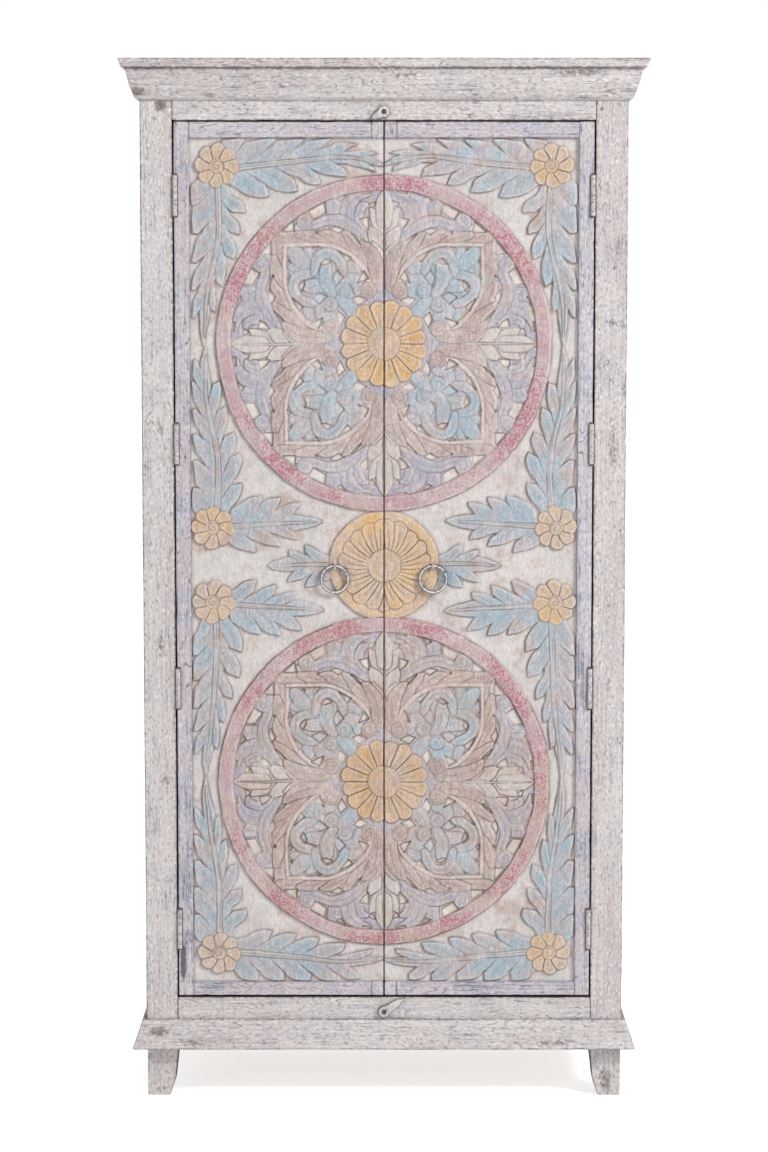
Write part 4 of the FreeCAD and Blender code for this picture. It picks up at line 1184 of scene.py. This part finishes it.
def carved():
    """The painted carving: its paint and marks come from the mesh."""
    def build(nodes, place):
        tones = {label: opaque(chosen(label.lower())[0])
                 for label in ("Dirt", "Line", "Chalk", "Dab", "Umber", "Teal")}
        return {"Paint": nodes.attribute("paint", "Color"), "Crevice": nodes.attribute("crevice"),
                "Dabs": nodes.attribute("dabs"), **tones}
    finish_material("painted_carving", 0.0, 0.0003, "carved_paint", build)


def knuckle_shade(nodes, place):
    """Painted shade, dark at the sides and ends of the hinge knuckles: by how far a point lies from the hinge
    line across, and from the middle of its hinge along the line."""
    axis, first, last = hinge_line()
    pitch = (last - first) / (HINGES - 1)
    end = KNUCKLE_HALF / pitch
    across, _, up = (Wire(nodes, part) for part in nodes.place("ShaderNodeSeparateXYZ", {0: place}).outputs)
    aside = abs(abs(across) - axis[0] * 0.001)
    hinges = (up - first * 0.001) / (pitch * 0.001)
    along = abs(hinges - nodes.math("ROUND", hinges))
    return nodes.greatest(nodes.band(aside, 0.0031, 0.0043), nodes.band(along, end * 0.94, end))


def hidden_sides(nodes, place):
    """Painted shade, dark where the ring's mesh says that it is turned away from the front."""
    return nodes.attribute("shade")


def iron(name, marks, metal, shade):
    """Hammered iron; shade gives its dark parts, from a mesh attribute or from the place."""
    def build(nodes, place):
        pale, dark = map(opaque, chosen(name))
        return {"Pale": pale, "Dark": dark, "Marks": marks, "Shade": shade(nodes, place)}
    finish_material(name, metal, 0.0006, "hammered_iron", build)


def make_materials():
    """All finishes of the cabinet."""
    group("worn_wash", WASH_INPUTS, FINISH, worn_wash)
    group("dabs", DABS_INPUTS, ("Mask",), dabs)
    group("hammered_iron", IRON_INPUTS, FINISH, hammered_iron)
    group("carved_paint", CARVED_INPUTS, FINISH, carved_paint)
    carved()
    for axis, lines in (("x", 0.65), ("y", 0.65), ("z", 0.5)):
        wash("whitewash", axis, 1.0, lines, 0.6, 0.75)
    for axis in "xz":
        wash("lilac", axis, 0.95, 0.8, 0.4, 0.3)
        wash("inner", axis, 0.3, 0.4, 0.2)
    wash("back", "z", 0.4, 0.8, 0.3, 0.8)
    wash("button", "z", 0.5, 0.4, 0.4, 0.8)
    iron("hinge", 420.0, 0.0, knuckle_shade)
    iron("pull", 240.0, 0.15, hidden_sides)
    iron("screw", 500.0, 0.7, hidden_sides)


def seen_directly(nodes):
    """1 for camera, glossy and transmission rays, 0 for the rays that light the cabinet."""
    path = nodes.place("ShaderNodeLightPath").outputs
    return nodes.greatest(*(Wire(nodes, path[f"Is {kind} Ray"])
                            for kind in ("Camera", "Glossy", "Transmission")))


def floor_material():
    """A white floor that shows the cabinet's shadow; to the camera, in reflections and through glass it is
    lifted to the white of the background."""
    material, nodes, place = empty_material("floor_white")
    tone = nodes.band(nodes.noise(place, 0.8), 0.3, 0.7, 0.93, 0.95)
    color = nodes.add("ShaderNodeCombineColor", {0: tone, 1: tone, 2: tone})
    shader = nodes.add("ShaderNodeBsdfPrincipled", {
        "Base Color": color, "Roughness": 0.95, "Specular IOR Level": 0.0, "Emission Color": (1, 1, 1, 1),
        "Emission Strength": seen_directly(nodes) * 0.68})
    nodes.place("ShaderNodeOutputMaterial", {"Surface": shader})
    return material


def world_light(ambient):
    """White behind the cabinet for the camera and in reflections, and an even light from all round."""
    world = bpy.data.worlds.new("plain_light")
    world.use_nodes = True
    world.node_tree.nodes.clear()
    nodes = Nodes(world.node_tree)
    strength = nodes.band(seen_directly(nodes), 0.0, 1.0, ambient, 1.0)
    background = nodes.add("ShaderNodeBackground", {"Color": (1, 1, 1, 1), "Strength": strength})
    nodes.place("ShaderNodeOutputWorld", {"Surface": background})
    return world


# Pieces of the cabinet

SIDES = (("left", -1), ("right", 1))

# The finish of each node that keeps its shape, by a word in its name; any other has the inside's finish
NODE_FINISHES = {"screw": "screw", "hinge": "hinge", "pull": "pull", "back_boards": "back_z"}
INSIDE_FINISH = "inner_x"

# Random seeds of the boards: the first one's, and the step to the next one's
BODY_SEEDS = (340, 40)
DOOR_SEEDS = (1250, 50)
PLANK_SEEDS = (1900, 30)
CAP_SEED = 977

# How grimy each back plank is, and how far a plank laps over its edges
PLANK_STAINS = (0.02, 0.16, 0.08, 0.2, 0.0, 0.12)
PLANK_LAP = 0.8

# The mouldings: random seed, and corners (how far each stands out from the body, height over the bottom)
MOULDINGS = {
    "cornice": (907, [(0, 0), (8.0, 4.6), (15.8, 26.0), (23.0, 54.0), (0, 54.0)]),
    "base_moulding": (913, [(0, 0), (22.0, 0), (22.0, 5.0), (5.5, 51.0), (0, 51.0)]),
}
CAP_SLANT = 4.6

# The lamps: name, place, what it is aimed at, size in metres, share of the key light's power
LAMPS = (
    ("key_light", (4.4, -3.6, 4.2), (0, 0, 0.9), 1.2, 1.0),
    ("fill_light", (-3.4, -3.6, 0.7), (0, 0, 0.7), 2.6, 0.14),
)
FLOOR_HALF = 30
SENSOR_WIDTH = 36.0

# A carved slab: fine squares in a coarse one, coarse squares across and up, slabs to a door, and how deep
# the ground lies behind the panel's front
GRID = 12
SLAB_ACROSS = 21
SLAB_UP = 24
SLABS = 4
GROUND_DEPTH = 6.0

# A foot's widths at the floor and at the knee, the knee's height, and the width of the stub inside
TOE_WIDTH = 39.0
KNEE_WIDTH = 48.0
KNEE_Z = 24.0
STUB_WIDTH = 50.0

# The clear round of a hinge barrel, and its clear length past each end of the knuckles
BARREL_CLEAR = 5.2
KNUCKLE_CLEAR = 2.2

# Points round a ring pull and round its wire, and its hammer marks: waves round both and their start
RING_ROUND = 144
WIRE_ROUND = 20
HAMMER_WAVES = ((17, 2, 0.3), (29, -3, 1.9), (41, 1, 4.1), (11, 3, 2.2))

# The turn buttons: points round, head's radius, half width of the tongue's root, radii of recess and bore
BUTTON_ROUND = 120
HEAD_RADIUS = 11.0
TONGUE_ROOT = 9.5
RECESS_RADIUS = 3.9
BORE_RADIUS = 2.35

# Each button's tongue: its length, half width at the shoulder, length of its point, and angle in degrees
TONGUES = {"upper": (27.5, 4.5, 5.0, 240.0), "lower": (45.0, 6.5, 17.0, 56.0)}


def squares(grid):
    """The four corners of each square in a grid of point numbers."""
    return np.stack([grid[:-1, :-1], grid[1:, :-1], grid[1:, 1:], grid[:-1, 1:]], -1).reshape(-1, 4)


def slab_walls(fine, rough):
    """The side faces of a slab: one for each coarse square along the four edges, from the fine points in
    front to the two coarse ones behind."""
    walls = []
    for edge, far, turned in ((fine[:, 0], rough[:, 0], True), (fine[:, -1], rough[:, -1], False),
                              (fine[0], rough[0], False), (fine[-1], rough[-1], True)):
        for k in range(len(far) - 1):
            wall = [*edge[k * GRID:(k + 1) * GRID + 1].tolist(), int(far[k + 1]), int(far[k])]
            walls.append(wall[::-1] if turned else wall)
    return walls


def lay_slab(name, relief, rows, side, ground_y, back_y, door):
    """One closed slab of the carved field. Its front point at (across, up) is the ground less the carved
    height H; the back is a flat coarse grid. The front's normals are (-dH/dx, -1, -dH/dz), made one
    long."""
    height = relief.height[:, rows]
    slope_x, slope_z = np.gradient(relief.height, relief.across, relief.up)
    normals = np.stack([-side * slope_x[:, rows], -np.ones_like(height), -slope_z[:, rows]], -1)
    normals /= np.linalg.norm(normals, axis=-1)[..., None]
    x, z = np.meshgrid(side * relief.across, relief.up[rows], indexing="ij")
    front = np.stack([x, ground_y - height, z], -1).reshape(-1, 3)
    x, z = x[::GRID, ::GRID], z[::GRID, ::GRID]
    back = np.stack([x, np.full_like(x, back_y), z], -1).reshape(-1, 3)
    fine = np.arange(height.size).reshape(height.shape)
    rough = np.arange(x.size).reshape(x.shape) + fine.size
    fronts, backs = squares(fine), squares(rough)[:, [0, 3, 2, 1]]
    faces = [*fronts.tolist(), *backs.tolist(), *slab_walls(fine, rough)]
    if side < 0:
        faces = [face[::-1] for face in faces]
    behind = np.zeros(len(back))
    paint = np.vstack([relief.paint[:, rows].reshape(-1, 3), np.tile(chosen("ground")[0], (len(back), 1))])
    crevice, dabs = (np.concatenate([field[:, rows].ravel(), behind])
                     for field in (relief.crevice, relief.speckle))
    piece = make_piece(name, np.vstack([front, back]), faces, "painted_carving", door + "_door",
                       door + "_carved_panel", {"paint": paint, "crevice": crevice, "dabs": dabs}, 0)
    bare_back(piece.data, len(fronts), len(backs))
    front_normals(piece.data, len(fronts), normals.reshape(-1, 3))


def bare_back(mesh, fronts, backs):
    """Gives the faces that follow the front ones bare wood."""
    mesh.materials.append(finish_of("inner_z"))
    bare = np.zeros(len(mesh.polygons), np.int32)
    bare[fronts:fronts + backs] = 1
    mesh.polygons.foreach_set("material_index", bare)


def front_normals(mesh, fronts, normals):
    """Sets the smooth normals of the front faces; the others keep their own flat ones."""
    def read(items, field, kind, width=1):
        values = np.empty(len(items) * width, kind)
        items.foreach_get(field, values)
        return values

    sizes = read(mesh.polygons, "loop_total", int)
    custom = np.repeat(read(mesh.polygons, "normal", float, 3).reshape(-1, 3), sizes, axis=0)
    of_front = np.repeat(np.arange(len(sizes)) < fronts, sizes)
    custom[of_front] = normals[read(mesh.loops, "vertex_index", int)[of_front]]
    mesh.normals_split_custom_set(custom.tolist())


def keep_clear(side):
    """Where a board keeps clear of the hinges: axis and radius, and each hinge's middle and half
    length."""
    axis, first, last = hinge_line()
    heights = [first + (last - first) * k / (HINGES - 1) for k in range(HINGES)]
    return (side * axis[0], axis[1], BARREL_CLEAR), [(z, KNUCKLE_HALF + KNUCKLE_CLEAR) for z in heights]


def make_foot(name, side, seed):
    """A foot: a square section narrowed on its two inner sides, straight from the toe up to the knee, then
    on to the body; above the body's bottom it steps back to the stub inside the cabinet."""
    low, high = box(name)
    inside_low, inside_high = box("bottom_board")
    body_z = box("left_side_panel")[0][2]
    front = "front" in name
    outer = (high[0] if side > 0 else low[0], low[1] if front else high[1])
    stub = (side * inside_high[0], inside_low[1] if front else inside_high[1])
    full = high[0] - low[0]

    def narrowing(spots):
        z = spots[..., 2]
        width = np.interp(z, (0, KNEE_Z, body_z, body_z + 0.01, high[2]),
                          (TOE_WIDTH, KNEE_WIDTH, full, STUB_WIDTH, STUB_WIDTH))
        for k, inward in ((0, -side), (1, 1 if front else -1)):
            start = np.where(z > body_z, abs(outer[k] - stub[k]), 0.0)
            share = (spots[..., k] - outer[k]) * inward / full
            spots[..., k] = outer[k] + inward * (start + share * (width - start))
        return spots

    # the foot's inner side is painted dark as shade
    carry(name + "_worn", "z", rectangle(*low[:2], *high[:2]), (low[2], high[2]), "whitewash", name, seed,
          spacing=FOOT_SPACING, narrowing=narrowing, shaded_sides=[(-side, 0)])


def carved_field(door, side, seed, given):
    """A door's carved field, in slabs from the bottom up."""
    low, high = box(door + "_carved_panel")
    near, far = sorted((abs(low[0]), abs(high[0])))
    across = np.linspace(near, far, SLAB_ACROSS * GRID + 1)
    up = np.linspace(low[2], high[2], SLABS * SLAB_UP * GRID + 1)
    relief = carve_door(across, up, seed, given)
    for part in range(SLABS):
        rows = slice(part * SLAB_UP * GRID, (part + 1) * SLAB_UP * GRID + 1)
        lay_slab(f"{door}_carving_{part + 1}", relief, rows, side, low[1] + GROUND_DEPTH, high[1], door)


def back_planks():
    """The planks of the back, each lapped a little over its neighbours."""
    low, high = box("back_boards")
    places = np.linspace(low[0], high[0], len(PLANK_STAINS) + 1)
    for k, (stain, seed) in enumerate(zip(PLANK_STAINS, itertools.count(*PLANK_SEEDS))):
        left, right = max(places[k] - PLANK_LAP, low[0]), min(places[k + 1] + PLANK_LAP, high[0])
        carry(f"back_plank_{k + 1}", "z", rectangle(left, low[1], right, high[1]), (low[2], high[2]), "back",
              "back_boards", seed, spacing=PLANK_SPACING, stain=stain)


def moulding(name, outline, seed):
    """A moulding of three boards, mitred at the front corners: a board goes on past the corner as far as
    the point of its outline stands out."""
    stile_low, stile_high = box("right_front_stile")
    face, body_x = stile_low[1], stile_high[0]
    back = box("right_side_panel")[1][1]
    front = name + "_front"
    bottom = box(front)[0][2]
    section = [(face - out, bottom + up) for out, up in outline]
    ends = (lambda p: -body_x - (face - p[:, 0]), lambda p: body_x + (face - p[:, 0]))
    carry(front + "_worn", "x", section, ends, "whitewash", front, seed)
    for side, s in SIDES:
        section = [(bottom + up, s * (body_x + out)) for out, up in outline]
        ends = (lambda p, s=s: face - (s * p[:, 1] - body_x), back)
        carry(f"{side}_{name}_worn", "y", section, ends, "whitewash", f"{side}_{name}", seed + 40 + s)


def cap_board():
    """The cap board, whose front and ends slant in towards the bottom."""
    low, high = box("cap_board")
    section = [(low[1] + CAP_SLANT, low[2]), (low[1], high[2]), (high[1], high[2]), (high[1], low[2])]

    def drawn_in(p):
        return CAP_SLANT * (high[2] - p[:, 1]) / (high[2] - low[2])

    ends = (lambda p: low[0] + drawn_in(p), lambda p: high[0] - drawn_in(p))
    carry("cap_board_worn", "x", section, ends, "whitewash", "cap_board", CAP_SEED)


def outer_stile(side, s, seed):
    """A door's outer stile, with a lip behind the carved panel."""
    door = side + "_door"
    node = door + "_outer_stile"
    panel_low, panel_high = box(side + "_carved_panel")
    low, high = box(node)
    inner, edge = sorted((abs(low[0]), abs(high[0])))
    panel_edge, panel_back = max(abs(panel_low[0]), abs(panel_high[0])), panel_high[1]
    corners = [(s * panel_edge, low[1]), (s * edge, low[1]), (s * edge, high[1]), (s * inner, high[1]),
               (s * inner, panel_back), (s * panel_edge, panel_back)]
    carry(node + "_worn", "z", corners, (low[2], high[2]), "lilac", node, seed, door, keep_clear(s),
          HINGE_SPACING, shaded_sides=[(s, 0)])


def inner_stile(side, s, seeds):
    """A door's inner stile in three lengths: the carved panel lies before the middle one."""
    door = side + "_door"
    node = door + "_inner_stile"
    panel_low, panel_high = box(side + "_carved_panel")
    low, high = box(node)
    for label, bottom, top, front in (("bottom", low[2], panel_low[2], low[1]),
                                      ("middle", panel_low[2], panel_high[2], panel_high[1]),
                                      ("top", panel_high[2], high[2], low[1])):
        carry(f"{node}_{label}", "z", rectangle(low[0], front, high[0], high[1]), (bottom, top), "lilac",
              node, next(seeds), door, shaded_sides=[(-s, 0)])


def door_rail(side, part, seed):
    """A door's top or bottom rail, with a lip behind the carved panel."""
    door = side + "_door"
    node = f"{door}_{part}_rail"
    panel_low, panel_high = box(side + "_carved_panel")
    low, high = box(node)
    back = panel_high[1]
    step, far, outer, faces = panel_high[2], low[2], high[2], 1
    if part == "bottom":
        step, far, outer, faces = panel_low[2], high[2], low[2], -1
    corners = [(low[1], step), (low[1], outer), (high[1], outer), (high[1], far), (back, far), (back, step)]
    carry(node + "_worn", "x", corners, (low[0], high[0]), "lilac", node, seed, door, shaded_sides=[(0, faces)])


def hammered_ring(side):
    """A ring: at angle u round it and v round the wire, the point is centre + (radius + r cos v)(cos u, 0,
    sin u) + (0, r sin v, 0), with r the wire's radius less the hammer marks. It is shaded where it is
    turned away from the front."""
    node = side + "_ring_pull"
    low, high = box(node)
    wire = (high[1] - low[1]) / 2
    radius = (high[0] - low[0]) / 2 - wire
    u = np.linspace(0, 2 * math.pi, RING_ROUND, endpoint=False)[:, None]
    v = np.linspace(0, 2 * math.pi, WIRE_ROUND, endpoint=False)[None, :]
    marks = sum(np.sin(a * u + b * v + start) for a, b, start in HAMMER_WAVES) / len(HAMMER_WAVES)
    r = wire * (0.93 + 0.07 * np.clip(marks, -1, 1))
    reach = radius + r * np.cos(v)
    spots = np.stack([reach * np.cos(u), r * np.sin(v), reach * np.sin(u)], -1) + (low + high) / 2
    front = np.clip(-np.sin(v) + 0 * u, 0, 1)
    shade = np.clip((0.97 - front) / 0.3, 0, 1)
    ringed(node + "_hammered", spots, "pull", side + "_pull", node, {"shade": shade.ravel()})


def tongue_outline(toward, length, tip_half, tip_long):
    """How far the round head and the tongue reach in each direction: the head's radius, or where the ray
    crosses a side of the tongue."""
    tongue = np.array([(TONGUE_ROOT, 0), (tip_half, length - tip_long), (0.001, length),
                       (-tip_half, length - tip_long), (-TONGUE_ROOT, 0)])
    reach = np.full(len(toward), HEAD_RADIUS)
    for a, b in zip(tongue[:-1], tongue[1:]):
        side = b - a
        cross = toward[:, 0] * side[1] - toward[:, 1] * side[0]
        cross = np.where(np.abs(cross) < 1e-9, 1e-9, cross)
        far = (a[0] * side[1] - a[1] * side[0]) / cross
        along = (a[0] * toward[:, 1] - a[1] * toward[:, 0]) / cross
        hit = (far > 0) & (along >= -1e-9) & (along <= 1 + 1e-9)
        reach = np.where(hit, np.maximum(reach, far), reach)
    return reach


def whittle_button(which, length, tip_half, tip_long, angle):
    """A turn button: rings of its outline, whittled by two waves and drawn in at the front arris, run over
    the face into the screw's recess and bore."""
    low, high = box(which + "_turn_button")
    pivot_z = sum(corner[2] for corner in box(which + "_button_screw")) / 2
    turn = np.linspace(0, 2 * math.pi, BUTTON_ROUND, endpoint=False)
    outline = tongue_outline(np.stack([np.sin(turn), np.cos(turn)], 1), length, tip_half, tip_long)
    outline = outline - 0.25 * np.clip(np.sin(7 * turn + 1) + 0.6 * np.sin(13 * turn), 0, 1)
    recess, bore = (np.full(len(turn), radius) for radius in (RECESS_RADIUS, BORE_RADIUS))
    front, back = low[1] + 0.05, high[1] - 0.05
    # each ring's reach, place and rub, from the back over the face into the bore; the rub is wear at the
    # arrises, and painted shade on the sides and in the recess and bore
    layers = [(outline - 0.5, back, 0.6), (outline, back - 0.6, 1.2), (outline, front + 2.4, 1.2),
              (outline * 0.985 - 0.35, front + 1.0, 1.2), (outline * 0.94 - 1.2, front + 0.25, 0.9),
              (outline * 0.5 + 2.0, front, 0.2), (recess + 0.7, front, 0.8), (recess, front + 0.4, 1.4),
              (recess, front + 3.0, 1.4), (bore, front + 3.0, 1.6), (bore, back, 1.6)]
    across, up = np.sin(turn + math.radians(angle)), np.cos(turn + math.radians(angle))
    rings = [np.stack([reach * across, np.full(len(turn), y), pivot_z + reach * up], 1)
             for reach, y, _ in layers]
    ringed(which + "_turn_button_worn", rings, "button_z", which + "_button", which + "_turn_button",
           {"rub": np.repeat([rub for *_, rub in layers], len(turn))})


def floor_sheet():
    """A flat square round the origin."""
    mesh = bpy.data.meshes.new("floor")
    mesh.from_pydata([(x, y, 0) for x, y in rectangle(-FLOOR_HALF, -FLOOR_HALF, FLOOR_HALF, FLOOR_HALF)], [],
                     [(0, 1, 2, 3)])
    mesh.materials.append(floor_material())
    return bpy.data.objects.new("floor", mesh)


def camera_eye(given):
    """The camera, which faces the doors and looks down a little."""
    camera = bpy.data.cameras.new("camera")
    camera.sensor_width = SENSOR_WIDTH
    camera.lens = given.lens
    eye = bpy.data.objects.new("camera", camera)
    eye.location = given.camera_place
    eye.rotation_euler = (math.pi / 2 - given.camera_pitch, 0, 0)
    return eye


def lamp(key, name, place, aim, size, share):
    """A square area light at a place, turned to its aim."""
    light = bpy.data.lights.new(name, "AREA")
    light.energy, light.size = key * share, size
    made = bpy.data.objects.new(name, light)
    made.location = place
    away = np.array(place) - np.array(aim)
    made.rotation_euler = (math.atan2(math.hypot(away[0], away[1]), away[2]), 0,
                           math.atan2(away[1], away[0]) + math.pi / 2)
    return made


# Operators


class TRASTERO_OT_finishes(bpy.types.Operator):
    """Makes the paints, woods and irons, and finishes the nodes that stay as they are"""

    bl_idname = "trastero.finishes"
    bl_label = "Finishes"

    def execute(self, context):
        make_materials()
        for name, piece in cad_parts.items():
            words = [word for word in NODE_FINISHES if word in name]
            piece.data.materials.clear()
            piece.data.materials.append(finish_of(NODE_FINISHES[words[0]] if words else INSIDE_FINISH))
        return {"FINISHED"}


class TRASTERO_OT_carving(bpy.types.Operator):
    """Carves and paints the field of both doors"""

    bl_idname = "trastero.carving"
    bl_label = "Carved fields"

    def execute(self, context):
        given = context.scene.trastero_carving
        carved_field("left", -1, given.seed, given)
        carved_field("right", 1, given.seed + 100, given)
        return {"FINISHED"}


class TRASTERO_OT_boards(bpy.types.Operator):
    """Wears the stiles, rails, sides and feet of the cabinet"""

    bl_idname = "trastero.boards"
    bl_label = "Boards and feet"

    def execute(self, context):
        seeds = itertools.count(*BODY_SEEDS)
        for side, s in SIDES:
            plain_board(side + "_front_stile", "z", next(seeds), [(-s, 0)], keep_clear(s))
            plain_board(side + "_side_panel", "z", next(seeds))
            make_foot(side + "_front_foot", s, next(seeds))
            make_foot(side + "_rear_foot", s, next(seeds))
        plain_board("front_top_rail", "x", next(seeds), [(0, -1)])
        plain_board("front_bottom_rail", "x", next(seeds), [(0, 1)])
        return {"FINISHED"}


class TRASTERO_OT_back(bpy.types.Operator):
    """Wears the six planks of the back"""

    bl_idname = "trastero.back"
    bl_label = "Back planks"

    def execute(self, context):
        back_planks()
        return {"FINISHED"}


class TRASTERO_OT_mouldings(bpy.types.Operator):
    """Wears the cornice, the base moulding and the cap board"""

    bl_idname = "trastero.mouldings"
    bl_label = "Mouldings and cap"

    def execute(self, context):
        for name, (seed, outline) in MOULDINGS.items():
            moulding(name, outline, seed)
        cap_board()
        return {"FINISHED"}


class TRASTERO_OT_door_frames(bpy.types.Operator):
    """Wears the stiles and rails round the carved fields"""

    bl_idname = "trastero.door_frames"
    bl_label = "Door frames"

    def execute(self, context):
        seeds = itertools.count(*DOOR_SEEDS)
        for side, s in SIDES:
            outer_stile(side, s, next(seeds))
            inner_stile(side, s, seeds)
            door_rail(side, "top", next(seeds))
            door_rail(side, "bottom", next(seeds))
        return {"FINISHED"}


class TRASTERO_OT_iron(bpy.types.Operator):
    """Hammers the two ring pulls"""

    bl_idname = "trastero.iron"
    bl_label = "Ring pulls"

    def execute(self, context):
        hammered_ring("left")
        hammered_ring("right")
        return {"FINISHED"}


class TRASTERO_OT_buttons(bpy.types.Operator):
    """Whittles the two turn buttons"""

    bl_idname = "trastero.buttons"
    bl_label = "Turn buttons"

    def execute(self, context):
        for which, tongue in TONGUES.items():
            whittle_button(which, *tongue)
        return {"FINISHED"}


class TRASTERO_OT_stage(bpy.types.Operator):
    """Sets the floor, the light and the camera"""

    bl_idname = "trastero.stage"
    bl_label = "Stage"

    def execute(self, context):
        scene = context.scene
        given = scene.trastero_stage
        eye = camera_eye(given)
        made = (floor_sheet(), eye, *(lamp(given.key, *sizes) for sizes in LAMPS))
        for item in made:
            scene.collection.objects.link(item)
        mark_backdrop(*made)
        scene.camera = eye
        scene.world = world_light(given.ambient)
        scene.view_settings.view_transform = "Standard"
        return {"FINISHED"}


class TRASTERO_PT_panel(bpy.types.Panel):
    """The steps and settings in the sidebar"""

    bl_idname = "TRASTERO_PT_panel"
    bl_label = "Trastero cabinet"
    bl_space_type = "VIEW_3D"
    bl_region_type = "UI"
    bl_category = "Trastero"

    def draw(self, context):
        for name in SETTINGS:
            settings = getattr(context.scene, name)
            part = self.layout.box()
            for label in settings.__annotations__:
                part.prop(settings, label)
        for step in STEPS:
            self.layout.operator(step.bl_idname)


SETTINGS = {"trastero_carving": TrasteroCarving, "trastero_wear": TrasteroWear,
            "trastero_colours": TrasteroColours, "trastero_stage": TrasteroStage}
STEPS = (TRASTERO_OT_finishes, TRASTERO_OT_carving, TRASTERO_OT_boards, TRASTERO_OT_back,
         TRASTERO_OT_mouldings, TRASTERO_OT_door_frames, TRASTERO_OT_iron, TRASTERO_OT_buttons,
         TRASTERO_OT_stage)


def register():
    for name, settings in SETTINGS.items():
        bpy.utils.register_class(settings)
        setattr(bpy.types.Scene, name, bpy.props.PointerProperty(type=settings))
    for made in (*STEPS, TRASTERO_PT_panel):
        bpy.utils.register_class(made)


def unregister():
    for made in (TRASTERO_PT_panel, *reversed(STEPS)):
        bpy.utils.unregister_class(made)
    for name, settings in SETTINGS.items():
        delattr(bpy.types.Scene, name)
        bpy.utils.unregister_class(settings)


def main():
    register()
    for step in STEPS:
        family, name = step.bl_idname.split(".")
        if getattr(getattr(bpy.ops, family), name)() != {"FINISHED"}:
            raise RuntimeError(step.bl_label + " didn't finish")
    sizes = [[list(corner) for corner in size] for size in (loaded_size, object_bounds())]


if __name__ == "__main__":
    main()
